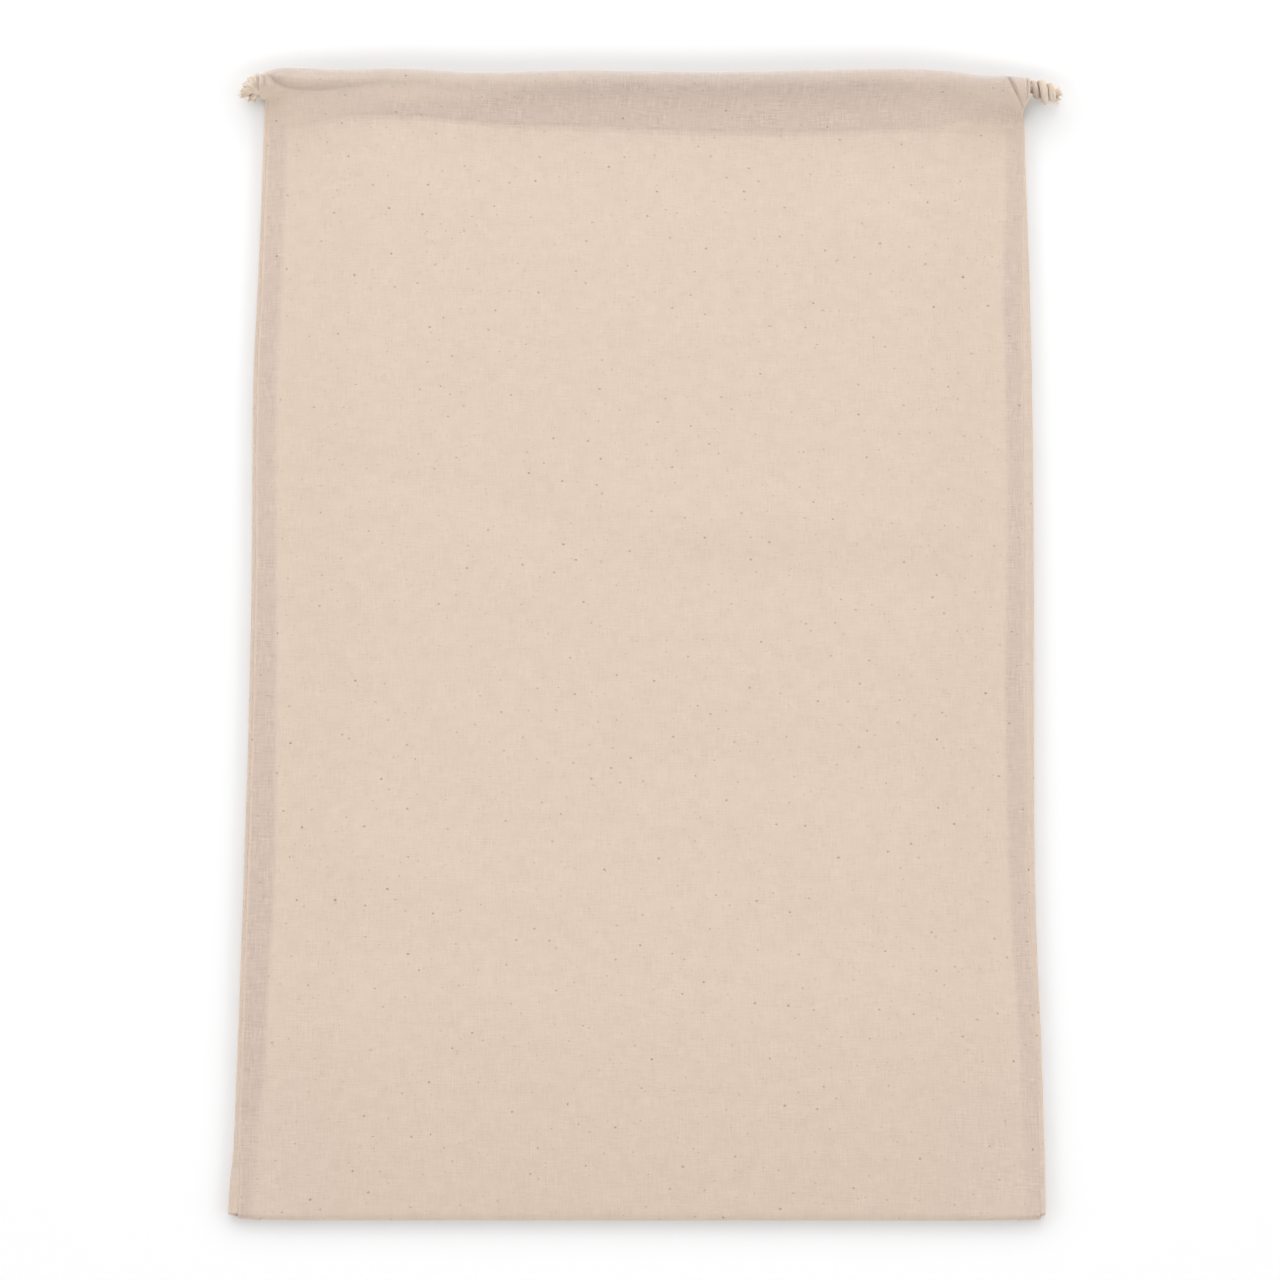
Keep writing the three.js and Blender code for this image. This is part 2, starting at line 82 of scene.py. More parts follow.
# The two side edges, bottom to mouth: y, left, right
OUTLINE = np.array([
    (-376, -252.7, 248.2),
    (-352, -251.8, 248.3),
    (-335, -250.3, 248.4),
    (-268, -249.2, 248.0),
    (-205, -248.6, 246.8),
    (-150, -248.0, 246.7),
    (-50, -247.5, 248.7),
    (50, -248.1, 250.8),
    (110, -249.3, 251.8),
    (165, -250.1, 252.4),
    (222, -249.0, 252.5),
    (285, -247.9, 252.0),
    (334, -247.6, 251.6),
    (375, -247.4, 251.4),
])

# Rounding of the bottom corners, left and right: x where it is full, width, rise
BOTTOM_CORNERS = ((-247.0, 24.0, 1.3), (246.0, 26.0, 0.9))

# How far each side seam is rolled to the front: y, left, right
SEAM_ROLL = np.array([
    (-376, 6.4, 3.4),
    (-352, 6.0, 3.5),
    (-328, 3.2, 3.6),
    (-280, 2.4, 3.7),
    (-236, 2.4, 3.8),
    (-170, 2.4, 4.5),
    (-44, 2.4, 5.8),
    (100, 2.4, 6.2),
    (230, 2.4, 5.4),
    (290, 2.5, 3.2),
    (334, 2.6, 1.0),
    (360, 2.6, 0.6),
])

# Darker bands of the side seams, left and right: y, widths, tones, lengths over which they fade
SEAM_BANDS = np.array([
    (-376, 8.0, 9.0, 0.8, 0.35, 9.0, 5.0),
    (-354, 8.3, 9.5, 0.8, 0.38, 9.0, 5.0),
    (-335, 10.5, 9.5, 0.72, 0.43, 11.0, 5.0),
    (-313, 12.4, 9.5, 0.76, 0.48, 8.0, 4.5),
    (-282, 14.8, 9.6, 0.9, 0.55, 5.0, 4.0),
    (-231, 15.1, 10.4, 0.84, 0.66, 4.5, 4.0),
    (-168, 16.8, 11.2, 0.8, 0.7, 4.0, 5.0),
    (-40, 14.5, 12.4, 0.76, 0.73, 4.0, 4.0),
    (92, 12.8, 10.4, 0.7, 0.66, 5.0, 5.0),
    (222, 12.8, 11.7, 0.73, 0.74, 6.0, 5.0),
    (290, 13.0, 11.0, 0.62, 0.6, 6.0, 5.0),
    (334, 12.5, 11.5, 0.64, 0.56, 6.0, 5.0),
    (346, 12.5, 11.0, 0.3, 0.25, 6.0, 6.0),
    (354, 12.5, 11.0, 0.0, 0.05, 6.0, 6.0),
])

# Rise and fall of the mouth edge: x, rise
MOUTH_EDGE = np.array([
    (-252, -2.0), (-247, 0.9), (-241, 3.1), (-232, 4.0),
    (-191, 0.9), (-158, 1.3), (-109, -1.5), (-43, -0.1),
    (39, -1.2), (105, 0.0), (154, 1.3), (195, 0.7),
    (208, 0.0), (222, -1.7), (240, -1.3), (255, -2.6),
])

# How much higher than its nominal depth the front's stitch line lies: x, lift
STITCH_LINE = np.array([
    (-250, 4.5), (-205, 9.6), (-171, 9.9), (-150, 9.3),
    (-131, 7.8), (-112, 5.7), (-90, 3.3), (-53, 2.4),
    (-20, 0.7), (20, -1.2), (78, -2.3), (117, -2.0),
    (157, -0.4), (196, 2.0), (225, 3.4), (252, 1.0),
])

# Storage folds of the front: from x, y, to x, y, depth (a trough above zero, a ridge below), reach
FOLDS = [
    (-195, 107, -30, 62, 0.85, 17),
    (-30, 66, 215, 60, -0.8, 20),
    (20, 34, 210, 30, 0.5, 20),
    (0, -92, 215, -96, 0.8, 22),
    (85, -200, 220, -204, 0.7, 20),
    (-200, -150, -60, -185, -0.6, 26),
    (150, 306, 225, 300, 0.9, 20),
    (-150, 285, -60, 240, -0.5, 30),
    (92, 146, 90, -84, -0.25, 5),
    (-120, 20, -40, -10, 0.3, 9),
    (-30, 200, 60, 190, -0.3, 12),
    (-190, -20, -120, -60, -0.3, 10),
    (100, -30, 170, -50, 0.3, 9),
]

# Ends of the casings, x: the front's outer layer, and the tunnels of the front and the back
LIP = (-250.4, 254.8)
TUNNEL_END = (-242.8, 247.3)
SLIT = (361.3, 351.3)  # y where each side seam stops on the front
STRIP_TOP = (366.5, 353.5)  # the same on the back, which is rolled to the front there
LIP_LENGTH = (3.0, 8.8)  # over which each lip reaches out above its slit
RIGHT_END = (185.0, 45.0)  # x where the casing's right end starts to lie higher, and over what length
RIGHT_FOLD = ((251.3, 346.7), (236.4, 380.0))  # line along which the right end is turned

# Casing's outer face from its upper cord, 0, to its stitch line, 1: share of the way, shares of the
# height along the casing and at its right end
FACE = np.array([
    (0.0, 1.0, 1.0),
    (0.07, 0.975, 0.985),
    (0.15, 0.89, 0.93),
    (0.25, 0.68, 0.83),
    (0.35, 0.47, 0.7),
    (0.5, 0.26, 0.49),
    (0.7, 0.1, 0.25),
    (0.85, 0.03, 0.1),
    (1.0, 0.0, 0.0),
])

# Trough below the cords at the left end of the casing: x, y of its line, how far it is drawn in
TROUGH = np.array([
    (-247, 373.6, 0.0),
    (-243.5, 372.4, 0.15),
    (-240.5, 371.1, 0.6),
    (-236, 369.2, 0.9),
    (-230, 367.0, 1.0),
    (-223, 365.8, 1.0),
    (-210, 364.6, 1.0),
    (-197, 364.9, 0.9),
    (-188, 364.9, 0.75),
    (-171, 365.1, 0.45),
    (-151, 365.0, 0.2),
    (-128, 365.0, 0.0),
])
TROUGH_DROP = 0.42  # share of the face's height that it drops there

# Small folds of the casing's hemmed ends, left and right: distance from the end, reach, height
END_RIDGES = (
    [(1.3, 0.8, 1.0), (3.2, 0.9, -0.8), (5.4, 1.1, 0.6)],
    [(0.7, 0.6, 1.0), (1.7, 0.45, -0.5), (2.7, 0.6, 0.8)],
)

# Pleat down the right end of the casing: x, y
PLEAT = np.array([(238.0, 373.6), (244.9, 360.2), (250.2, 349.0)])
PLEAT_RISE = 1.3  # of its ridge
PLEAT_STEP = 2.2  # down to the cloth on its right

# Tone of the casing from one layer to several, partly painted light: the tone starts below the mouth edge,
# which leaves a painted highlight along the roll. Columns: x, distances below the mouth edge where it
# starts and ends, tone
CASING_TONE = np.array([
    (-252, 0, 16, 0.08),
    (-215, 4, 22, 0.1),
    (-190, 9, 28, 0.4),
    (-165, 15, 29, 0.9),
    (-130, 13, 27, 1.0),
    (-90, 6, 23, 1.0),
    (-55, 3, 18, 0.97),
    (0, 0, 13, 0.92),
    (160, 1, 16, 0.9),
    (190, 4, 22, 0.7),
    (205, 4, 24, 0.55),
    (230, 4, 24, 0.45),
    (252, 2, 20, 0.4),
])

# Turns of each knot: degrees round its axis, x and y of the axis, heading of its side, reach to the
# side and up
KNOT_TURNS = {
    "left": np.array([
        (-90, -247.3, 370.6, 76, 3.4, 3.0),
        (90, -249.3, 370.9, 90, 4.6, 4.2),
        (270, -250.7, 370.7, 100, 5.0, 4.6),
        (450, -251.9, 370.3, 111, 5.2, 4.8),
        (630, -253.0, 369.6, 122, 5.2, 4.8),
        (810, -254.0, 368.7, 133, 5.2, 4.8),
        (990, -254.8, 367.7, 144, 5.2, 4.7),
        (1170, -255.4, 366.6, 155, 5.1, 4.6),
        (1350, -255.8, 365.4, 166, 4.9, 4.4),
        (1530, -256.0, 364.2, 177, 4.6, 4.2),
        (1710, -255.9, 363.0, 188, 3.0, 3.0),
    ]),
    "right": np.array([
        (-90, 255.4, 368.0, 92, 2.2, 2.4),
        (90, 258.3, 367.6, 91, 3.4, 3.0),
        (270, 261.1, 366.4, 90, 4.6, 4.2),
        (450, 263.9, 365.2, 89, 5.6, 5.0),
        (630, 266.7, 364.2, 88, 5.4, 4.8),
        (810, 269.2, 363.4, 87, 4.0, 3.8),
        (990, 271.0, 363.4, 86, 2.2, 2.4),
    ]),
}
KNOT_HEIGHT = 8.0  # of a knot's axis over the floor
KNOT_CORD = {"left": 2.05, "right": 2.65}  # radius of the cord where the knot is drawn tight

# Cut ends of each knot: points along each
TAILS = {
    "left": [
        [(-254.0, 366.0, 8.5), (-258.0, 364.8, 8.0), (-261.4, 363.6, 6.4)],
        [(-252.0, 365.0, 7.0), (-253.8, 363.2, 6.2), (-255.6, 361.6, 4.6)],
    ],
    "right": [
        [(266.5, 364.8, 9.6), (270.0, 364.9, 9.0), (273.4, 364.9, 7.6)],
        [(266.5, 362.8, 6.4), (270.0, 362.4, 5.8), (273.0, 361.9, 4.6)],
    ],
}

# Where each drawcord goes into its knot: x and y of a lead and of its end
CORD_ENDS = {
    "left": ((-246.8, 370.4), (-251.4, 370.9)),
    "right": ((252.6, 368.0), (259.0, 367.2)),
}
STRAND_SPREAD = 2.65  # of a cord's two ends above and below the knot's axis
TAIL_RADII = [2.2, 2.2, 2.4]  # of a cut end's cord, from the knot on
FIBRES = 45  # loose ones at each cut end
FRAY_RADIUS = 2.0  # of the round that they start in
FIBRE_SIZES = {"Length": 0.0034, "Thickness": 0.00014}  # in metres


def soften(t):
    """Soft rise from 0 to 1 while t goes from 0 to 1."""
    t = np.clip(t, 0.0, 1.0)
    return t * t * (3.0 - 2.0 * t)


def hump(distance, reach):
    """Soft hump, 1 in its middle and near 0 from about twice its reach on."""
    return np.exp(-((distance / reach) ** 2))


def blend(a, b, share):
    return a + (b - a) * share


def read(table, column, at):
    """Smooth value of one column of a table at places between its rows."""
    places, values = table[:, 0], table[:, column]
    last = len(places) - 1
    rows = np.arange(last + 1)
    before, after = np.maximum(rows - 1, 0), np.minimum(rows + 1, last)
    slope = (values[after] - values[before]) / (places[after] - places[before])
    i = np.clip(np.searchsorted(places, at), 1, last)
    span = places[i] - places[i - 1]
    t = np.clip((at - places[i - 1]) / span, 0.0, 1.0)
    bend = t * (1 - t) ** 2 * slope[i - 1] - t * t * (1 - t) * slope[i]
    return blend(values[i - 1], values[i], soften(t)) + span * bend


def side_edges(y):
    return read(OUTLINE, 1, y), read(OUTLINE, 2, y)


def seam_lines(y):
    left, right = side_edges(y)
    return left + read(SEAM_ROLL, 1, y), right - read(SEAM_ROLL, 2, y)


def from_line(x, y, start, end):
    """Distance to a line between two points, and the share of the way along it."""
    ax, ay = start
    dx, dy = end[0] - ax, end[1] - ay
    share = np.clip(((x - ax) * dx + (y - ay) * dy) / (dx * dx + dy * dy), 0.0, 1.0)
    return np.hypot(x - ax - share * dx, y - ay - share * dy), share


def ripples(x, y, count, shortest, longest):
    """Slow unevenness from waves in all directions, within about one unit of zero."""
    rng = np.random.default_rng(SEED)
    total = np.zeros(np.broadcast(x, y).shape)
    for _ in range(count):
        heading = rng.uniform(0, math.pi)
        length = rng.uniform(shortest, longest)
        phase = rng.uniform(0, 2 * math.pi)
        along = x * math.cos(heading) + y * math.sin(heading)
        total = total + np.sin(2 * math.pi * along / length + phase)
    return total / math.sqrt(count)


def fold_height(x, y):
    height = 0.22 * ripples(x, y, 9, 55.0, 160.0)
    for ax, ay, bx, by, depth, reach in FOLDS:
        distance, _ = from_line(x, y, (ax, ay), (bx, by))
        height = height - depth * hump(distance, reach)
    return height


def front_height(x, y):
    """Height of the front's outer face over the floor."""
    left, right = side_edges(y)
    inside = np.minimum(x - left, right - x) - SEAM_BAND
    rise = soften(inside / SIDE_RISE) * (1 - np.clip(1 - (y - BOTTOM) / BOTTOM_RISE, 0, 1) ** 2)
    return SEAM_EDGE + rise * (LOFT - SEAM_EDGE + fold_height(x, y))


def casing_at(x, front):
    """Mouth edge, stitch line, lower height and hem height of one casing."""
    left, right = side_edges(MOUTH)
    from_end = np.minimum(x - left, right - x)
    gap = blend(END_GAP, MOUTH_GAP, soften(from_end / MOUTH_RISE))
    edge = MOUTH + read(MOUTH_EDGE, 1, x)
    if not front:
        return edge - BACK_SETBACK, np.full_like(x, STITCH), np.zeros_like(x), np.zeros_like(x)
    stitch = STITCH + read(STITCH_LINE, 1, x)
    return edge, stitch, ROLL + gap, front_height(x, stitch) - STITCH_SINK - HEM_LAYERS / 2


def lane_at(x, front, lane):
    """Centre of one drawcord lane of a casing."""
    edge, _, low, _ = casing_at(np.asarray(x, float), front)
    y = edge - ROLL_RADIUS - lane * LANE_PITCH
    z = low + ROLL_RADIUS
    if front:
        beside = np.array([-2.4, -1.6, -0.8, 0.0, 0.8, 1.6])[:, None]
        half = np.sqrt((CORD / 2) ** 2 - beside**2)
        for along in (-3.0, -1.5, 0.0, 1.5, 3.0):
            face = plain_face(x + along, y + beside) + pleat(x + along, y + beside)
            z = np.minimum(z, (face - half).min(0) - CLOTH - CORD_CLEARANCE)
    return np.stack([x, y, z], -1)


# Columns across the cloth: distances from a seam line, inside it below zero, and shares of the middle
SIDE_COLUMNS = np.concatenate([
    [-ALLOWANCE, -9.0, -5.0, -2.0, -0.7],
    np.arange(0.0, 13.1, 0.5),
    [13.6, 14.3, 15.2, 16.4, 18.0, 20.5, 23.5, 27.0, 31.0, 35.5, 40.0],
])
SIDE_REACH = SIDE_COLUMNS[-1]
MIDDLE_COLUMNS = np.linspace(0, 1, 73)[1:-1]
SIDE_COUNT = len(SIDE_COLUMNS)
OFFSET = np.concatenate([SIDE_COLUMNS, np.full(len(MIDDLE_COLUMNS), SIDE_REACH), SIDE_COLUMNS[::-1]])
SHARE = np.concatenate([np.zeros(SIDE_COUNT), MIDDLE_COLUMNS, np.ones(SIDE_COUNT)])
ON_LEFT = SHARE < 0.5
INSIDE = OFFSET < 0  # the columns of the allowances
FLAT_MIDDLE = blend(SIDE_REACH - FLAT_HALF, FLAT_HALF - SIDE_REACH, SHARE)
FLAT_X = np.where(SHARE <= 0, OFFSET - FLAT_HALF, np.where(SHARE >= 1, FLAT_HALF - OFFSET, FLAT_MIDDLE))


def across(left, right):
    """x of every column between a left and a right seam line, the allowances turned inwards."""
    reach = np.abs(OFFSET)
    from_left, from_right = left + reach, right - reach
    middle = blend(left + SIDE_REACH, right - SIDE_REACH, SHARE)
    return np.where(SHARE <= 0, from_left, np.where(SHARE >= 1, from_right, middle))


def seam_dip(depth=0.25, reach=0.8):
    """Valley along a seam line."""
    return np.where(INSIDE, 0.0, depth * hump(OFFSET, reach))


def puckers(x, y, stitch):
    """Small gathers that the stitch line draws in, and the groove along it."""
    wave = np.sin(x / 2.1 + 2.0 * np.sin(x / 17.0)) * (0.6 + 0.4 * np.sin(x / 31.0))
    near = np.exp(-np.abs(y - stitch) / 5.0)
    groove = 0.35 * hump(y - stitch - 1.0, 1.2)
    return 0.1 * wave * near - groove


def front_row(y):
    """One row of the front panel."""
    x = across(*seam_lines(y))
    pull = soften((y - STITCH + STITCH_PULL) / (STITCH_PULL - 4))
    lift = pull * read(STITCH_LINE, 1, x)
    z = front_height(x, y) - seam_dip() + puckers(x, y, STITCH)
    z = np.where(INSIDE, SEAM_EDGE - 1.6 + OFFSET * 0.03, z)
    return np.stack([x, y + lift, z], 1)


def fold_row(degrees):
    """One row of the bottom fold, from 90 on the front to -90 on the back."""
    angle = math.radians(degrees)
    half = SEAM_EDGE / 2
    x = across(*seam_lines(BOTTOM))
    corner = sum(rise * (1 - soften(np.abs(x - at) / width)) for at, width, rise in BOTTOM_CORNERS)
    y = BOTTOM + corner + FOLD_REACH * (1 - math.cos(angle))
    height = np.where(INSIDE, 0.4, 1.0) * half * math.sin(angle)
    return np.stack([x, y, half + height], 1)


def wrapped(left, right, seam_left, seam_right):
    """x and z of the back's columns: from the seams on the front, round the edges, to the underside."""
    half = SEAM_EDGE / 2
    turn = math.pi * math.sqrt((EDGE_REACH**2 + half**2) / 2)
    width = np.where(ON_LEFT, seam_left - left, right - seam_right)
    reach = np.minimum(EDGE_REACH, width)
    flat = width - reach
    angle = np.clip((OFFSET - flat) / turn, 0.0, 1.0) * math.pi
    beyond = np.maximum(OFFSET - flat - turn, 0.0) + np.maximum(flat - OFFSET, 0.0)
    inward = reach * (1 - np.sin(angle)) + beyond
    first, last = inward[SIDE_COUNT - 1], inward[-SIDE_COUNT]
    middle = blend(left + first, right - last, SHARE)
    x = np.where(SHARE <= 0, left + inward, np.where(SHARE >= 1, right - inward, middle))
    x = np.where(INSIDE, np.where(ON_LEFT, seam_left - OFFSET, seam_right + OFFSET), x)
    z = half * (1 + np.cos(angle)) - seam_dip(0.2, 0.7)
    return x, np.where(INSIDE, 1.5 - OFFSET * 0.02, z)


def back_row(y):
    """One row of the back panel, which closes on the bottom fold and lies flat above the slits."""
    y = np.broadcast_to(np.asarray(y, float), OFFSET.shape)
    seam_left, seam_right = seam_lines(y)
    left, right = side_edges(y)
    x, z = wrapped(left, right, seam_left, seam_right)
    wrap = soften((y - BOTTOM - FOLD_REACH) / 1.8)
    top = np.where(ON_LEFT, *STRIP_TOP)
    opened = soften((y - top + 2) / 2)
    under = np.where(INSIDE, LAYER, 0.0)
    x = blend(blend(across(seam_left, seam_right), x, wrap), across(*TUNNEL_END), opened)
    z = blend(blend(under, z, wrap), under, opened)
    return np.stack([x, y, z], 1)


def casing_ends(y_left, y_right, outer):
    """Ends of one row of the front casing: sewn below the slits, and the tunnel's ends or the lips above."""
    seam_left, seam_right = seam_lines(y_left)[0], seam_lines(y_right)[1]
    (low_x, low_y), (top_x, top_y) = RIGHT_FOLD
    slanted = min(blend(low_x, top_x, (y_right - low_y) / (top_y - low_y)), low_x)
    left = blend(TUNNEL_END[0], LIP[0], outer)
    right = blend(slanted, LIP[1], outer)
    open_left = soften((y_left - SLIT[0]) / LIP_LENGTH[0])
    open_right = np.clip((y_right - SLIT[1]) / blend(1.5, LIP_LENGTH[1], outer), 0, 1)
    return blend(seam_left, left, open_left), blend(seam_right, right, open_right)


def trough(x, y, first, stitch):
    """Shares of the face's height where the cloth is drawn in under the cords, and how far it is."""
    line = read(TROUGH, 1, x)
    below = line - y
    down = np.clip((first - y) / (first - line), 0.0, 1.0)
    ease = np.clip(below / (line - stitch), 0.0, 1.0)
    lower = (1 - TROUGH_DROP) * (1 - ease) ** 1.2 + 0.07 * soften(below / 3) * (1 - ease)
    crease = 0.04 * hump(below, 1.5)
    height = np.where(below < 0, 1 - TROUGH_DROP * down**5, lower) - crease
    return height, np.clip(read(TROUGH, 2, x), 0.0, 1.0)


def pleat_depth(y):
    """Share of the pleat's depth, which runs out towards the side seam."""
    return 0.2 + 0.8 * soften((y - 353) / 13)


def pleat(x, y):
    """Pleat of the right end: a folded edge with a soft rise on its left and a step down on its right."""
    line_x = np.interp(-y, -PLEAT[:, 1], PLEAT[:, 0])
    beside = (x - line_x) * 0.92
    ends = soften((y - PLEAT[-1, 1] + 4) / 6) * soften((PLEAT[0, 1] + 3 - y) / 4)
    rise = PLEAT_RISE * np.where(beside < 0, hump(beside, 1.9), hump(beside, 0.5))
    step = PLEAT_STEP * pleat_depth(y) * soften(beside / 0.8) * (1 - 0.75 * soften((beside - 1.0) / 3.0))
    return ends * (rise - step)


def end_ridges(y):
    """Folds of the hemmed casing ends, beside the knots."""
    left, right = (
        sum(height * hump(OFFSET - place, reach) for place, reach, height in ridges) for ridges in END_RIDGES
    )
    at_end = np.where(SHARE <= 0, left, np.where(SHARE >= 1, right, 0.0))
    slit = np.where(ON_LEFT, SLIT[0], SLIT[1] + 4)
    return at_end * soften((y - slit + 1) / 5)


def relief(x, y):
    """Folds of the front casing's outer face."""
    return pleat(x, y) + np.where(INSIDE, 0.0, end_ridges(y))


def sewn_down(y, z):
    """How far the front casing is held down along the side seams below the slits."""
    slit = np.where(ON_LEFT, *SLIT)
    opening = np.where(ON_LEFT, (y - slit + 3) / 9, (y - slit + 4) / 6)
    return (1 - soften(OFFSET / 20)) * (1 - soften(opening)) * (z - SEAM_EDGE + 0.2)


HEM_SLOPE = np.array([0.0, 0.15, 0.35, 0.55, 0.78])
UNDER_CORDS = np.linspace(0, 1, 5)[:-1]
FRONT_ROLL = np.linspace(-90, 90, 18)
BACK_ROLL = np.linspace(-90, 90, 11)
FACE_ROWS = np.concatenate([np.linspace(0.02, 0.44, 23), np.linspace(0.44, 1.0, 16)[1:]])
Layers = namedtuple("Layers", "first shoulder stitch centre middle")


def casing_layers(x, front):
    """Upper cord, shoulder and stitch line of a casing, and the middle of its tunnel and its hem."""
    edge, stitch, low, hem = casing_at(x, front)
    first = edge - ROLL_RADIUS
    return Layers(first, first - LANE_PITCH - SHOULDER, stitch, low + ROLL_RADIUS, hem + HEM_LAYERS / 2)


def plain_face(x, y):
    """Height of the front casing's outer face without the folds of its ends."""
    at = casing_layers(x, True)
    share = np.clip((at.first - y) / (at.first - at.stitch), 0.0, 1.0)
    foot = at.middle + HEM_LAYERS / 2
    height = blend(read(FACE, 1, share), read(FACE, 2, share), soften((x - RIGHT_END[0]) / RIGHT_END[1]))
    height = blend(height, *trough(x, y, at.first, at.stitch))
    return foot + (at.centre + ROLL_RADIUS - foot) * height + puckers(x, y, at.stitch)


def shown_face(x, y):
    """Height of every column of the front casing's outer face."""
    z = plain_face(x, y) + relief(x, y) - 0.6 * seam_dip()
    return z - sewn_down(y, z)


def casing_rows(front):
    """Rows of one casing, from its turned-under edge over the hem and the roll to the stitch line."""
    side = 1.0 if front else -1.0
    guess = across(*TUNNEL_END)

    def columns(y, outer):
        if not front:
            return guess
        x = across(*casing_ends(float(y[SIDE_COUNT // 3]), float(y[-SIDE_COUNT // 3]), outer))
        return x + np.where(INSIDE, np.where(ON_LEFT, 0.6, -0.6) * OFFSET, 0.0)

    def row(place, outer, tucked=None):
        x = columns(place(guess, casing_layers(guess, front))[0], outer)
        y, z = place(x, casing_layers(x, front))
        if outer < 0.5:
            z = np.minimum(z, shown_face(x, y) - (1.8 if front else 2.8))
        if tucked is None:
            tucked = LAYER if outer < 0.5 else -LAYER - 0.6
        return np.stack([x, y, z + side * np.where(INSIDE, tucked, 0.0)], 1)

    def turned(below, layer):
        def place(_, at):
            return at.stitch + below, at.middle - side * (HEM_LAYERS / 2 - layer)
        return row(place, 0.0)

    def hem(share):
        half = blend(HEM_LAYERS / 2, ROLL_RADIUS, share)
        def place(_, at):
            return blend(at.stitch, at.shoulder, share), blend(at.middle, at.centre, share) - side * half
        return row(place, 0.0)

    def under(share):
        def place(_, at):
            return blend(at.shoulder, at.first, share), at.centre - side * ROLL_RADIUS
        return row(place, 0.0)

    def roll(degrees):
        angle = math.radians(degrees)
        def place(x, at):
            radius = np.where(INSIDE, ROLL_RADIUS - LAYER - 0.6, ROLL_RADIUS)
            y = at.first + radius * math.cos(angle)
            shown = relief(x, y) * max(math.sin(angle), 0.0) if front else 0.0
            return y, at.centre + side * radius * math.sin(angle) + shown
        return row(place, float(soften((degrees + 90) / 70)), 0.0)

    def face(share):
        def place(x, at):
            y = blend(at.first, at.stitch, share)
            return y, shown_face(x, y)
        return row(place, 1.0)

    rows = [turned(TURN_UNDER - HEM_LIP, LAYER), turned(-HEM_LIP * 0.7, LAYER)]
    rows += [turned(-HEM_LIP, LAYER / 2), turned(-HEM_LIP * 0.7, 0.0)]
    rows += [hem(share) for share in HEM_SLOPE]
    rows += [under(share) for share in UNDER_CORDS]
    if front:
        return rows + [roll(degrees) for degrees in FRONT_ROLL] + [face(share) for share in FACE_ROWS]
    rows += [roll(degrees) for degrees in BACK_ROLL]
    first = casing_layers(guess, False).first
    return rows + [back_row(blend(first, STITCH, share)) for share in np.linspace(0.12, 1, 26)]


def spaced(start, end, step, first=(), last=()):
    """Places from start to end: given steps at either end, even ones between."""
    sign = 1 if end > start else -1
    head = [start + sign * s for s in first]
    tail = [end - sign * s for s in last][::-1]
    count = max(1, round(abs(tail[0] - head[-1]) / step))
    return head + [blend(head[-1], tail[0], k / count) for k in range(1, count)] + tail


def cloth_rows():
    """All rows of the cloth, front hem, front, bottom fold, back, back hem, and the kind of each."""
    low = BOTTOM + FOLD_REACH
    front = casing_rows(True)
    upper, lower = (1.2, 2.6, 4.5, 7, 10.5, 15), (1.6, 3.8, 7, 11, 16)
    panel = [front_row(y) for y in spaced(STITCH, low, 6.5, upper, lower)]
    fold = [fold_row(degrees) for degrees in (75, 50, 25, 0, -25, -50, -75)]
    steps = (0.01, 0.6, 1.2, 1.8, 2.4, 3.2, 5, 9, 15, 22, 30, 40)
    back = [back_row(y) for y in spaced(low, STITCH, 18.0, steps, (1.2, 4, 9))]
    rear = casing_rows(False)[::-1]
    kinds = ["casing"] * len(front) + ["front"] * len(panel) + ["fold"] * len(fold)
    kinds += ["back"] * len(back) + ["rear"] * len(rear)
    return np.array(front + panel + fold + back + rear), np.array(kinds)


def casing_tone(x, y):
    """Tone of the front casing, lighter along the mouth edge and at both ends, with painted light and shade:
    a painted highlight along the mouth edge and on the pleat's ridge, a painted shadow right of the ridge,
    and painted shade in the trough's crease.
    """
    edge, stitch, _, _ = casing_at(x, True)
    start, end, most = (read(CASING_TONE, k, x) for k in (1, 2, 3))
    tone = 0.1 + (most - 0.1) * soften((edge - y - start) / (end - start))
    line_x = np.interp(-y, -PLEAT[:, 1], PLEAT[:, 0])
    beside = x - line_x
    on_pleat = soften((y - 347) / 3)
    # painted highlight on the pleat's ridge; further right, the one layer of cloth of the turned end
    light = np.maximum(soften((beside - 2.0) / 0.8), hump(beside + 0.1, 1.1)) * on_pleat
    # painted shadow in a thin strip right of the pleat's ridge
    step = soften((beside - 0.7) / 0.5) * (1 - soften((beside - 1.7) / 0.8))
    shadow = 0.75 * pleat_depth(y) * step * on_pleat
    # painted shade along the crease of the trough under the cords
    crease = 0.45 * read(TROUGH, 2, x) * hump(y - read(TROUGH, 1, x), 1.6)
    whitish = soften((-243.5 - x) / 3) * soften((y - 351) / 3)
    tone = tone * (1 - 0.95 * np.maximum(light, whitish))
    at_end = soften((x - 188) / 20)
    above = y - stitch - 4.0 * at_end + 0.6
    return np.maximum(tone, np.maximum(shadow, crease)) * soften(above / (1.6 + 3.0 * at_end))


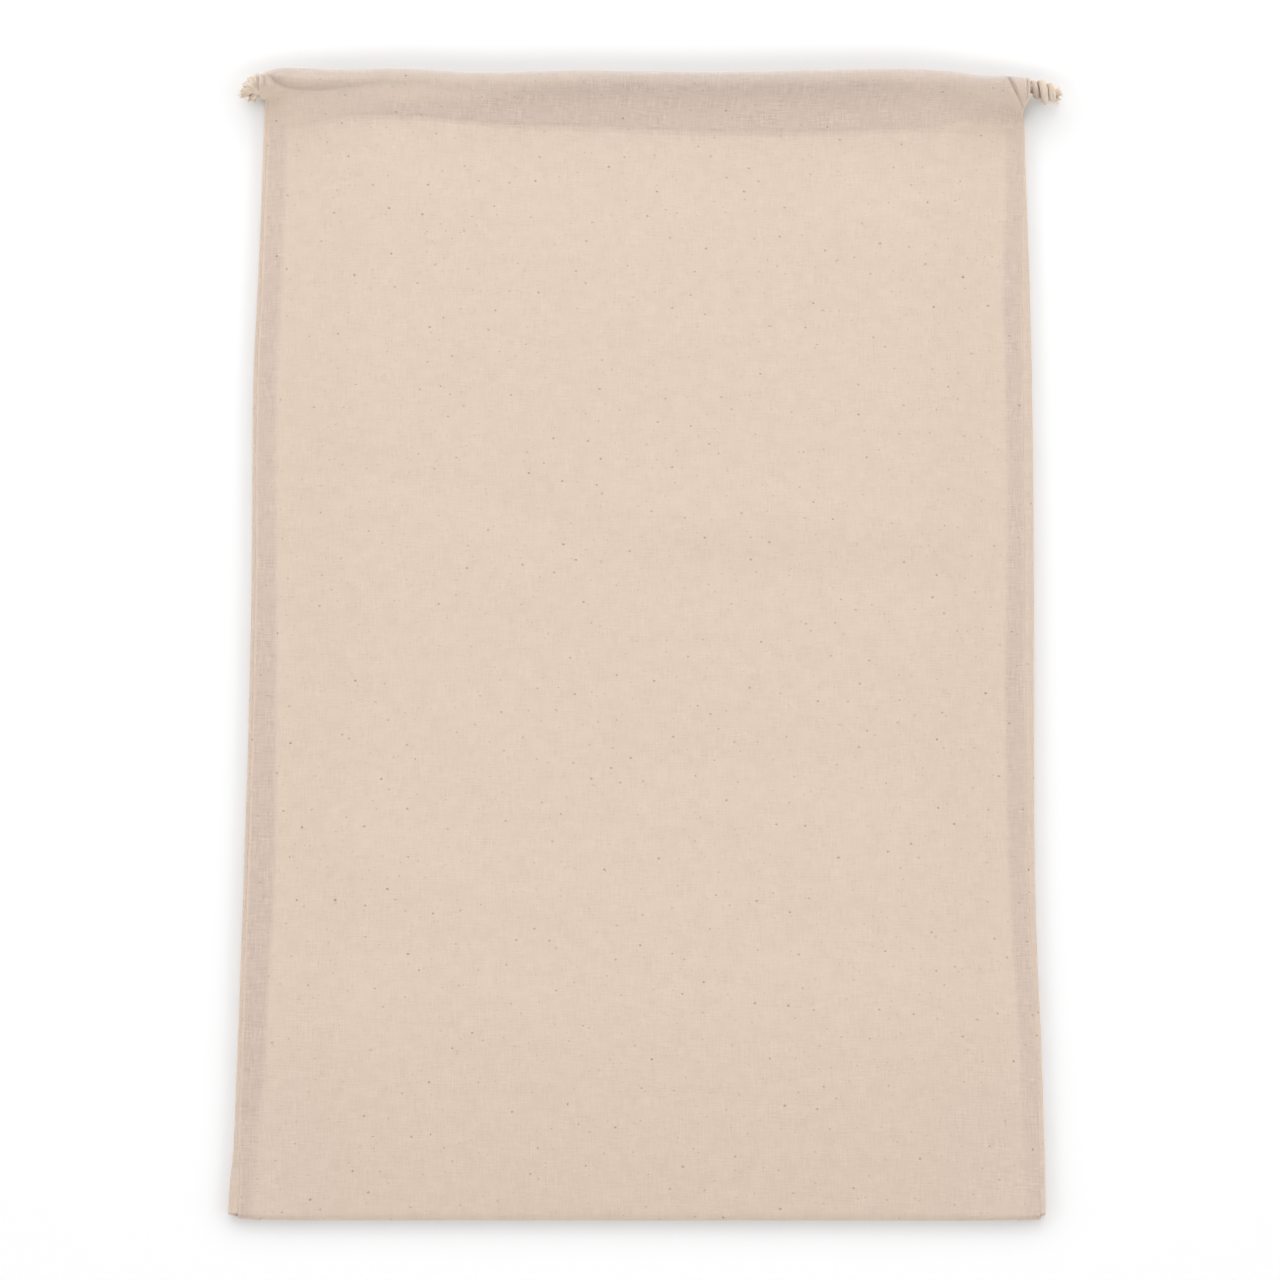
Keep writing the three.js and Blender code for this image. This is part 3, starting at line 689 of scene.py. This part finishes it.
def cloth_tone(rows, kinds):
    """How far each point's tone goes from one layer of cloth, 0, to several layers, 1, with painted light
    and shade added: a painted shadow below the casing's stitch line, painted shade towards the bottom
    corners, a thin painted highlight along the left seam, and the casing's painted light and shade.
    """
    tone = np.zeros(rows.shape[:2])
    strip = np.where(ON_LEFT, 0.5, 0.3) * (OFFSET < 12) * (OFFSET >= 0)
    # On the left the band starts 0.7 mm from the seam line, leaving a painted highlight along the front's
    # folded edge.
    edge = np.where(ON_LEFT, soften((OFFSET - 0.7) / 1.2), soften(OFFSET / 1.5)) * (OFFSET < SIDE_REACH)
    slit = np.where(ON_LEFT, *SLIT)
    for i, kind in enumerate(kinds):
        x, y = rows[i, :, 0], rows[i, :, 1]
        sewn = 1 - soften((y - slit + 6) / 6)
        width, most, fade = (
            np.where(ON_LEFT, read(SEAM_BANDS, k, y), read(SEAM_BANDS, k + 1, y)) for k in (1, 3, 5)
        )
        band = most * edge * (1 - soften((OFFSET - width) / fade + 0.5))
        if kind == "casing":
            tone[i] = np.maximum(casing_tone(x, y), band * sewn)
        elif kind in ("front", "fold"):
            below = np.maximum(casing_at(x, True)[1] - y, 0.0)
            # Painted shadow of the casing on the front, darkest at the stitch line and fading over about 12
            # mm below it
            share = soften((x + 240) / 50) * (1 - 0.7 * soften((x - 180) / 30))
            left, right = side_edges(y)
            from_side = np.minimum(x - left, right - x)
            # Painted shade towards the bottom corners, darker near the bottom fold and the sides
            low = 0.32 * soften((-230 - y) / 110) * (1 - soften((from_side - 20) / 70))
            tone[i] = np.maximum(band, 0.32 * share * np.exp(-below / 12)) * (1 - low) + low
        else:
            tone[i] = strip * sewn * (1 - 0.7 * soften((y - 290) / 40))
    return tone


def cloth_rim(rows, kinds):
    """How far each point takes the painted shade along the mouth edge of the front: greyer and less red
    there.
    """
    rim = np.zeros(rows.shape[:2])
    for i, kind in enumerate(kinds):
        if kind == "casing":
            depth = casing_at(rows[i, :, 0], True)[0] - rows[i, :, 1]
            rim[i] = np.exp(-np.maximum(depth, 0.0) / 5)
    return rim


def smooth_mesh(name, points, faces, flat):
    """Smooth mesh with the flat coordinates of its points as UV."""
    mesh = bpy.data.meshes.new(name)
    mesh.from_pydata((points * MM).tolist(), [], faces)
    corners = np.array([k for face in faces for k in face])
    uv = mesh.uv_layers.new(name="flat")
    uv.data.foreach_set("uv", (flat[corners] * MM).astype(np.float32).ravel())
    mesh.polygons.foreach_set("use_smooth", np.ones(len(faces), bool))
    mesh.update()
    return mesh


def grid_mesh(name, points, flat, **values):
    """Mesh of a grid of points, with values at its points as attributes."""
    rows, columns = points.shape[:2]
    index = np.arange(rows * columns).reshape(rows, columns)
    faces = np.stack([index[:-1, :-1], index[1:, :-1], index[1:, 1:], index[:-1, 1:]], -1).reshape(-1, 4)
    mesh = smooth_mesh(name, points.reshape(-1, 3), faces.tolist(), flat.reshape(-1, 2))
    for label, value in values.items():
        layer = mesh.attributes.new(label, "FLOAT", "POINT")
        layer.data.foreach_set("value", value.astype(np.float32).ravel())
    return mesh


def placed(name, data):
    """New object in the scene."""
    obj = bpy.data.objects.new(name, data)
    bpy.context.scene.collection.objects.link(obj)
    return obj


def piece(mesh, material, replaced=()):
    """A shown piece on the bag's one body."""
    obj = placed(mesh.name, mesh)
    mesh.materials.clear()
    mesh.materials.append(material)
    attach(obj, "root")
    if replaced:
        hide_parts(*replaced)
    return obj


def bag_cloth(material):
    rows, kinds = cloth_rows()
    steps = np.linalg.norm(np.diff(rows[:, len(OFFSET) // 2], axis=0), axis=1)
    length = np.concatenate([[0], np.cumsum(steps)])
    flat = np.stack(np.broadcast_arrays(FLAT_X[None, :], length[:, None]), -1)
    mesh = grid_mesh("cotton_bag", rows, flat, tone=cloth_tone(rows, kinds), rim=cloth_rim(rows, kinds))
    bag = piece(mesh, material, ["bag_cloth"])
    thick = bag.modifiers.new("thickness", "SOLIDIFY")
    thick.thickness = CLOTH * MM
    thick.offset = -1


class Graph:
    """Short way to add and join the nodes of one tree."""

    def __init__(self, tree):
        self.tree = tree

    def add(self, kind, *inputs, **settings):
        node = self.tree.nodes.new(kind)
        for name, value in settings.items():
            setattr(node, name, value)
        for i, value in enumerate(inputs):
            self.set(node.inputs[i], value)
        return node

    def set(self, socket, value):
        if isinstance(value, bpy.types.NodeSocket):
            self.tree.links.new(value, socket)
        else:
            socket.default_value = value

    def fill(self, node, **inputs):
        for name, value in inputs.items():
            self.set(node.inputs[name], value)
        return node

    def math(self, operation, *values):
        return self.add("ShaderNodeMath", *values, operation=operation).outputs[0]

    def mapped(self, vector, scale, turn=0.0):
        node = self.add("ShaderNodeMapping", vector)
        return self.fill(node, Scale=scale, Rotation=(0, 0, turn)).outputs[0]

    def grain(self, vector, across, along, detail, rough):
        """Uneven values in grains of this width and length."""
        scaled = self.mapped(vector, (1 / across, 1 / along, 1))
        node = self.add("ShaderNodeTexNoise", scaled, noise_dimensions="2D")
        return self.fill(node, Scale=1.0, Detail=detail, Roughness=rough).outputs[0]

    def spread(self, value, low, high, to_low, to_high, way="LINEAR"):
        ends = (low, high, to_low, to_high)
        return self.add("ShaderNodeMapRange", value, *ends, interpolation_type=way).outputs[0]

    def bump(self, height, strength, distance):
        node = self.add("ShaderNodeBump")
        return self.fill(node, Strength=strength, Distance=distance, Height=height).outputs[0]

    def tint(self, share, first, second, how="MIX"):
        node = self.add("ShaderNodeMix", data_type="RGBA", blend_type=how)
        for i, value in ((0, share), (6, first), (7, second)):
            self.set(node.inputs[i], value)
        return node.outputs[2]


def matt_material(name, gloss=0.15, roughness=0.95):
    """New material and its shader."""
    material = bpy.data.materials.new(name)
    material.use_nodes = True
    shader = material.node_tree.nodes["Principled BSDF"]
    shader.inputs["Roughness"].default_value = roughness
    shader.inputs["Specular IOR Level"].default_value = gloss
    return material, shader


def specks(graph, flat, spacing, radius, presence):
    """Seed specks: one at most in each cell, some cells empty, each with its own size."""
    noise = graph.add("ShaderNodeTexNoise", flat, noise_dimensions="2D")
    ragged = graph.fill(noise, Scale=900.0, Detail=1.0).outputs["Color"]
    shift = (radius, radius, 0)
    moved = graph.add("ShaderNodeVectorMath", ragged, shift, flat, operation="MULTIPLY_ADD").outputs[0]
    cells = graph.add("ShaderNodeTexVoronoi", graph.mapped(moved, (1 / spacing, 1.25 / spacing, 1), 0.6))
    cells.voronoi_dimensions = "2D"
    graph.fill(cells, Scale=1.0)
    drawn = graph.add("ShaderNodeSeparateColor", cells.outputs["Color"]).outputs
    size = graph.spread(drawn[0], 1 - presence, 1.0, 0.45 * radius / spacing, radius / spacing)
    edge = graph.math("DIVIDE", cells.outputs["Distance"], size)
    inside = graph.spread(edge, 1.0, 0.4, 0.0, 1.0)
    present = graph.math("GREATER_THAN", drawn[0], 1 - presence)
    depth = graph.math("MULTIPLY", present, graph.spread(drawn[1], 0.0, 1.0, 0.3, 1.0))
    return graph.math("MULTIPLY", inside, depth)


def cotton_cloth():
    """Unbleached plain weave: uneven yarns both ways, slubs, seed specks, darker where layers lie, and
    painted light and shade from its tone and rim attributes.
    """
    material, shader = matt_material("cotton_cloth")
    graph = Graph(material.node_tree)
    flat = graph.add("ShaderNodeUVMap", uv_map="flat").outputs[0]
    tone = graph.add("ShaderNodeAttribute", attribute_name="tone").outputs["Fac"]

    warp = graph.grain(flat, 0.001, 0.011, 2.0, 0.6)
    weft = graph.grain(flat, 0.01, 0.001, 2.0, 0.6)
    lengthwise = graph.spread(warp, 0.3, 0.7, -0.5, 0.5)
    yarns = graph.math("ADD", lengthwise, graph.spread(weft, 0.3, 0.7, -0.5, 0.5))
    mottle = graph.grain(flat, 0.011, 0.009, 3.0, 0.6)
    cloud = graph.spread(mottle, 0.3, 0.7, 0.98, 1.02)
    patch = graph.grain(flat, 0.018, 0.014, 2.0, 0.5)
    relief_by_tone = graph.spread(tone, 0.0, 1.0, 0.04, 0.13)
    strength = graph.math("MULTIPLY", relief_by_tone, graph.spread(patch, 0.3, 0.7, 0.4, 1.6))
    value = graph.math("MULTIPLY_ADD", yarns, strength, cloud)

    axes = graph.add("ShaderNodeSeparateXYZ", flat).outputs
    broken = graph.grain(flat, 0.009, 0.02, 1.0, 0.5)
    drift = graph.grain(flat, 0.03, 0.004, 1.0, 0.5)
    phase = graph.math("MULTIPLY_ADD", axes[1], 2 * math.pi / 0.00147, graph.math("MULTIPLY", drift, 9.0))
    ribs = graph.math("SINE", phase)
    ribs = graph.math("MULTIPLY", ribs, graph.spread(broken, 0.42, 0.62, 0.0, 0.025))
    value = graph.math("MULTIPLY_ADD", ribs, tone, value)
    grey = graph.add("ShaderNodeCombineColor", value, value, value).outputs[0]

    warm = graph.grain(flat, 0.03, 0.02, 3.0, 0.6)
    base = graph.tint(warm, (0.652, 0.53, 0.432, 1), (0.664, 0.545, 0.45, 1))
    # The tone darkens towards several layers of cloth and also carries painted shadows, shade and highlights
    layered_and_shaded = graph.tint(tone, base, (0.555, 0.449, 0.386, 1))
    # Painted shade along the mouth edge of the front: greyer and less red
    rim = graph.add("ShaderNodeAttribute", attribute_name="rim").outputs["Fac"]
    rim_shaded = graph.tint(rim, layered_and_shaded, (0.88, 0.96, 1.09, 1), "MULTIPLY")
    woven = graph.tint(1.0, rim_shaded, grey, "MULTIPLY")

    large = specks(graph, flat, 0.0155, 0.0012, 0.5)
    small = specks(graph, flat, 0.0065, 0.0008, 0.42)
    seeds = graph.math("MAXIMUM", graph.math("MULTIPLY", large, 0.7), graph.math("MULTIPLY", small, 0.33))
    seeded = graph.tint(seeds, woven, (0.24, 0.16, 0.1, 1))
    graph.set(shader.inputs["Base Color"], seeded)

    graph.set(shader.inputs["Normal"], graph.bump(yarns, 0.4, 0.0002))
    return material


def cotton_cord(colour, pale, tint):
    """Soft spun cotton: fine fibres along each strand, and a warmer tint in places."""
    material, shader = matt_material("cotton_cord")
    graph = Graph(material.node_tree)
    flat = graph.add("ShaderNodeUVMap", uv_map="flat").outputs[0]
    fibres = graph.grain(flat, 0.0007, 0.006, 3.0, 0.6)
    patches = graph.grain(flat, 0.006, 0.009, 2.0, 0.5)
    colours = graph.tint(graph.spread(fibres, 0.3, 0.7, 0.0, 1.0), colour, pale)
    tinted = graph.tint(graph.spread(patches, 0.5, 0.75, 0.0, 0.7), colours, tint)
    graph.set(shader.inputs["Base Color"], tinted)
    graph.set(shader.inputs["Normal"], graph.bump(fibres, 0.6, 0.0003))
    return material


def frayed_cotton(colour):
    """Loose fibres of one colour."""
    material, shader = matt_material("frayed_cotton", 0.1)
    shader.inputs["Base Color"].default_value = colour
    return material


def resampled(points, step):
    """Points at even steps along a smooth line through the given ones."""
    points = np.asarray(points, float)
    padded = np.vstack([2 * points[0] - points[1], points, 2 * points[-1] - points[-2]])
    fine = []
    for i in range(1, len(padded) - 2):
        p0, p1, p2, p3 = padded[i - 1 : i + 3]
        count = max(2, int(np.linalg.norm(p2 - p1) / step * 2))
        for t in np.linspace(0, 1, count, endpoint=False):
            curve = 2 * p1 + (p2 - p0) * t + (2 * p0 - 5 * p1 + 4 * p2 - p3) * t**2
            fine.append(0.5 * (curve + (3 * p1 - p0 - 3 * p2 + p3) * t**3))
    fine = np.vstack([fine, points[-1]])
    length = np.concatenate([[0], np.cumsum(np.linalg.norm(np.diff(fine, axis=0), axis=1))])
    places = np.linspace(0, length[-1], max(2, int(length[-1] / step)))
    return np.stack([np.interp(places, length, fine[:, k]) for k in range(3)], 1), places


def twisted(points, radii, step=1.3, pitch=34.0, strands=5, sides=20, start=0.0):
    """Rings of a cord of twisted strands along a line, its radius given at even places along it."""
    line, places = resampled(points, step)
    radius = np.interp(places, np.linspace(0, places[-1], len(radii)), radii)
    tangent = np.gradient(line, axis=0)
    tangent /= np.linalg.norm(tangent, axis=1, keepdims=True)
    up = np.array([0.13, 0.21, 0.97])
    angle = np.linspace(0, 2 * math.pi, sides, endpoint=False)
    rings, flat = [], []
    for centre, along, reach, place in zip(line, tangent, radius, places):
        up = up - along * np.dot(up, along)
        up /= np.linalg.norm(up)
        beside = np.cross(along, up)
        strand = (angle / (2 * math.pi) - place / pitch - start) * strands
        away = np.abs(strand % 1 - 0.5) * 2
        lobe = reach * (0.84 + 0.16 * np.sqrt(1 - np.minimum(away, 0.999) ** 2))
        rings.append(centre + np.outer(lobe * np.cos(angle), up) + np.outer(lobe * np.sin(angle), beside))
        flat.append(np.stack([strand * 3.0, np.full(sides, place)], 1))
    return np.array(rings), np.array(flat)


def cord_mesh(name, cords):
    """One mesh of several cords with closed ends, with places along and across their strands as UV."""
    points, faces, flats = [], [], []
    count = 0
    for rings, flat in cords:
        rows, sides = rings.shape[:2]
        index = np.arange(rows * sides).reshape(rows, sides) + count
        after = np.roll(index, -1, axis=1)
        faces += np.stack([index[:-1], after[:-1], after[1:], index[1:]], -1).reshape(-1, 4).tolist()
        faces += [index[0][::-1].tolist(), index[-1].tolist()]
        points.append(rings.reshape(-1, 3))
        flats.append(flat.reshape(-1, 2))
        count += rows * sides
    return smooth_mesh(name, np.vstack(points), faces, np.vstack(flats))


def cord_route(name, lane):
    """Route of one drawcord: knot, front casing, half turn at the far slit, back casing, knot."""
    sign = 1 if name == "left" else -1
    near, far = TUNNEL_END if sign > 0 else TUNNEL_END[::-1]
    xs = np.linspace(near, far, 140)
    out, home = lane_at(xs, True, lane), lane_at(xs[::-1], False, lane)
    leaving, entering = out[-1], home[0]
    radius = (leaving[2] - entering[2]) / 2
    turn = []
    for k in range(1, 8):
        angle = math.pi * k / 8
        point = blend(leaving, entering, (1 - math.cos(angle)) / 2)
        turn.append(point + [sign * radius * math.sin(angle), 0, 0])
    upper = [(x, y, KNOT_HEIGHT + STRAND_SPREAD) for x, y in CORD_ENDS[name]]
    lower = [(x, y, KNOT_HEIGHT - STRAND_SPREAD) for x, y in CORD_ENDS[name]]
    return np.vstack([upper[::-1], out, turn, home, lower])


def drawcord(name, lane, material):
    cord = twisted(cord_route(name, lane), [CORD / 2, CORD / 2])
    piece(cord_mesh(f"cord_{name}", [cord]), material, [f"drawcord_{name}"])


def knot(name, material):
    """Turns of cord round the two ends of a drawcord, drawn tight, and their short cut ends."""
    table = KNOT_TURNS[name]
    turns = np.arange(table[0, 0], table[-1, 0] + 1, 24.0)
    x, y, heading, beside, above = (read(table, k, turns) for k in range(1, 6))
    round_axis, side = np.radians(turns), np.radians(heading)
    out = beside * np.cos(round_axis)
    up = KNOT_HEIGHT + above * np.sin(round_axis)
    wound = np.stack([x + out * np.cos(side), y + out * np.sin(side), up], 1)
    thick = KNOT_CORD[name]
    thin = thick * 0.8
    cords = [twisted(wound, [thin] + [thick] * 5 + [thin], step=0.7)]
    cords += [twisted(tail, TAIL_RADII, step=0.7, start=k * 0.4) for k, tail in enumerate(TAILS[name])]
    piece(cord_mesh(f"tied_{name}", cords), material, [f"knot_{name}"])


def geometry_tree(name, sizes):
    """New Geometry Nodes tree with a geometry going in and out, and a named input for each size."""
    tree = bpy.data.node_groups.new(name, "GeometryNodeTree")
    for way in ("INPUT", "OUTPUT"):
        tree.interface.new_socket("Geometry", in_out=way, socket_type="NodeSocketGeometry")
    for label, value in sizes.items():
        socket = tree.interface.new_socket(label, in_out="INPUT", socket_type="NodeSocketFloat")
        socket.default_value = value
    return tree


def end_tree(graph, copies, material):
    """Last nodes of a tree: real copies with their material."""
    real = graph.add("GeometryNodeRealizeInstances", copies.outputs[0]).outputs[0]
    finished = graph.add("GeometryNodeSetMaterial", real)
    finished.inputs["Material"].default_value = material
    graph.add("NodeGroupOutput", finished.outputs[0])


def run_tree(tree, name, points, edges, sizes, pointing=None):
    """Plain mesh that a tree makes from points, which may each point some way."""
    source = bpy.data.meshes.new(f"{name}_line")
    source.from_pydata((np.asarray(points) * MM).tolist(), edges, [])
    if pointing is not None:
        layer = source.attributes.new("pointing", "FLOAT_VECTOR", "POINT")
        layer.data.foreach_set("vector", np.asarray(pointing, np.float32).ravel())
    holder = placed(f"{name}_holder", source)
    modifier = holder.modifiers.new("tree", "NODES")
    modifier.node_group = tree
    for socket in tree.interface.items_tree:
        if socket.name in sizes:
            modifier[socket.identifier] = sizes[socket.name]
    graph = bpy.context.evaluated_depsgraph_get()
    mesh = bpy.data.meshes.new_from_object(holder.evaluated_get(graph))
    holder.modifiers.clear()
    bpy.data.objects.remove(holder)
    mesh.name = name
    mesh.polygons.foreach_set("use_smooth", np.ones(len(mesh.polygons), bool))
    return mesh


def stitch_tree(material):
    """Stitches laid along a line: length, thickness and pitch are inputs."""
    tree = geometry_tree("casing_stitches", STITCH_SIZES)
    graph = Graph(tree)
    inside = graph.add("NodeGroupInput").outputs
    line = graph.add("GeometryNodeMeshToCurve", inside["Geometry"]).outputs[0]
    dots = graph.add("GeometryNodeCurveToPoints", mode="LENGTH")
    graph.fill(dots, Curve=line, Length=inside["Pitch"])
    ball = graph.fill(graph.add("GeometryNodeMeshUVSphere"), Segments=6, Rings=5, Radius=0.5)
    thick = inside["Thickness"]
    size = graph.add("ShaderNodeCombineXYZ", thick, thick, inside["Length"]).outputs[0]
    copies = graph.add("GeometryNodeInstanceOnPoints")
    graph.fill(copies, Points=dots.outputs["Points"], Instance=ball.outputs["Mesh"])
    graph.fill(copies, Rotation=dots.outputs["Rotation"], Scale=size)
    end_tree(graph, copies, material)
    return tree


def casing_stitches(material):
    """The row of stitches along each casing."""
    tree = stitch_tree(material)
    for side in ("front", "back"):
        front = side == "front"
        x = across(*seam_lines(STITCH + 3.0))
        y = casing_at(x, front)[1] + 1.0
        z = shown_face(x, y) + 0.05 if front else np.full_like(x, 0.12)
        line, _ = resampled(np.stack([x, y, z], 1)[~INSIDE][4:-4], 1.6)
        edges = [(k, k + 1) for k in range(len(line) - 1)]
        mesh = run_tree(tree, f"stitches_{side}", line, edges, STITCH_SIZES)
        piece(mesh, material)


def fray_tree(material):
    """Loose fibres at a cut cord end: their length and thickness are inputs."""
    tree = geometry_tree("frayed_end", FIBRE_SIZES)
    graph = Graph(tree)
    inside = graph.add("NodeGroupInput").outputs
    length = inside["Length"]
    arc = graph.add("GeometryNodeCurveQuadraticBezier")
    tip = graph.add("ShaderNodeCombineXYZ", graph.math("MULTIPLY", length, 0.35), 0.0, length).outputs[0]
    bend = graph.add("ShaderNodeCombineXYZ", 0.0, 0.0, graph.math("MULTIPLY", length, 0.6)).outputs[0]
    graph.fill(arc, Resolution=4, Start=(0, 0, 0), Middle=bend, End=tip)
    section = graph.add("GeometryNodeCurvePrimitiveCircle")
    graph.fill(section, Resolution=4, Radius=inside["Thickness"])
    fibre = graph.add("GeometryNodeCurveToMesh", arc.outputs[0], section.outputs[0])
    low, high = (-1.1, -1.1, -3.1), (1.1, 1.1, 3.1)
    turn = graph.add("FunctionNodeRandomValue", low, high, data_type="FLOAT_VECTOR")
    graph.fill(turn, Seed=SEED)
    size = graph.add("FunctionNodeRandomValue", data_type="FLOAT")
    size.inputs[2].default_value = 0.4
    size.inputs[3].default_value = 1.2
    graph.fill(size, Seed=SEED + 1)
    pointing = graph.add("GeometryNodeInputNamedAttribute", "pointing", data_type="FLOAT_VECTOR")
    facing = graph.add("FunctionNodeAlignRotationToVector", axis="Z")
    graph.fill(facing, Vector=pointing.outputs[0])
    leaning = graph.add("FunctionNodeRotateRotation", facing.outputs[0], turn.outputs[0])
    leaning.rotation_space = "LOCAL"
    copies = graph.add("GeometryNodeInstanceOnPoints")
    graph.fill(copies, Points=inside["Geometry"], Instance=fibre.outputs[0])
    graph.fill(copies, Rotation=leaning.outputs[0], Scale=size.outputs[1])
    end_tree(graph, copies, material)
    return tree


def frayed_ends(material):
    """Loose fibres at the cut ends of both knots."""
    tree = fray_tree(material)
    rng = np.random.default_rng(SEED)
    for name, tails in TAILS.items():
        points, pointing = [], []
        for tail in tails:
            before, end = np.array(tail[-2]), np.array(tail[-1])
            along = (end - before) / np.linalg.norm(end - before)
            for _ in range(FIBRES):
                scatter = rng.normal(0, 1, 3)
                scatter -= along * np.dot(scatter, along)
                scatter *= FRAY_RADIUS * math.sqrt(rng.uniform()) / max(np.linalg.norm(scatter), 1e-6)
                points.append(end - along * rng.uniform(0.2, 1.4) + scatter)
                pointing.append(along + 0.22 * scatter)
        mesh = run_tree(tree, f"fray_{name}", points, [], FIBRE_SIZES, pointing)
        piece(mesh, material)


def camera():
    """View from above, leaning a little to the side of the bottom fold."""
    tilt = math.radians(15.58)
    distance = 2.749
    data = bpy.data.cameras.new("view")
    data.lens = 121.6
    data.sensor_width = 36
    data.clip_end = 50
    obj = placed("view", data)
    obj.location = (0, -distance * math.sin(tilt), distance * math.cos(tilt))
    aim = Vector((-0.00045, -0.00627, 0)) - obj.location
    obj.rotation_euler = aim.to_track_quat("-Z", "Y").to_euler()
    bpy.context.scene.camera = obj


def floor():
    """Plain pale floor, wide enough for every view."""
    half = 6.0
    mesh = bpy.data.meshes.new("floor")
    corners = [(-half, -half), (half, -half), (half, half), (-half, half)]
    mesh.from_pydata([(x, y, -0.0002) for x, y in corners], [], [(0, 1, 2, 3)])
    material, shader = matt_material("floor", 0.2, 0.8)
    shader.inputs["Base Color"].default_value = (0.88, 0.88, 0.88, 1)
    mesh.materials.append(material)
    placed("floor", mesh)


def lights():
    """Light tent: a wall all round, higher behind the camera, a soft ceiling, a lamp beyond the mouth."""
    world = bpy.data.worlds.new("studio")
    world.use_nodes = True
    graph = Graph(world.node_tree)
    background = world.node_tree.nodes["Background"]
    way = graph.add("ShaderNodeTexCoord").outputs["Generated"]
    axes = graph.add("ShaderNodeSeparateXYZ", way).outputs
    behind = graph.spread(axes[1], -0.75, -0.15, 1.0, 0.0)
    height = graph.math("MULTIPLY_ADD", behind, -0.3, axes[2])
    rise = graph.spread(height, 0.1, 0.2, 0.0, 1.0, "SMOOTHSTEP")
    fall = graph.spread(height, 0.38, 0.6, 1.0, 0.0, "SMOOTHSTEP")
    band = graph.math("MULTIPLY", rise, fall)
    wall = graph.math("MULTIPLY", band, graph.spread(behind, 0.0, 1.0, 3.45, 2.4))
    background.inputs[0].default_value = (1, 1, 1, 1)
    graph.set(background.inputs[1], graph.math("ADD", wall, 0.25))
    bpy.context.scene.world = world
    data = bpy.data.lights.new("lamp", "AREA")
    data.size = 1.6
    data.energy = 9.5
    obj = placed("lamp", data)
    obj.location = (0, 1.3, 1.8)
    obj.rotation_euler = (-obj.location).to_track_quat("-Z", "Y").to_euler()
    bpy.context.scene.view_settings.view_transform = "Standard"


camera()
floor()
lights()
cloth = cotton_cloth()
cord = cotton_cord((0.6, 0.49, 0.405, 1), (0.77, 0.665, 0.57, 1), (0.66, 0.5, 0.36, 1))
bag_cloth(cloth)
casing_stitches(cloth)
drawcord("left", 1, cord)
drawcord("right", 0, cord)
for which in KNOT_TURNS:
    knot(which, cord)
frayed_ends(frayed_cotton((0.72, 0.56, 0.38, 1)))
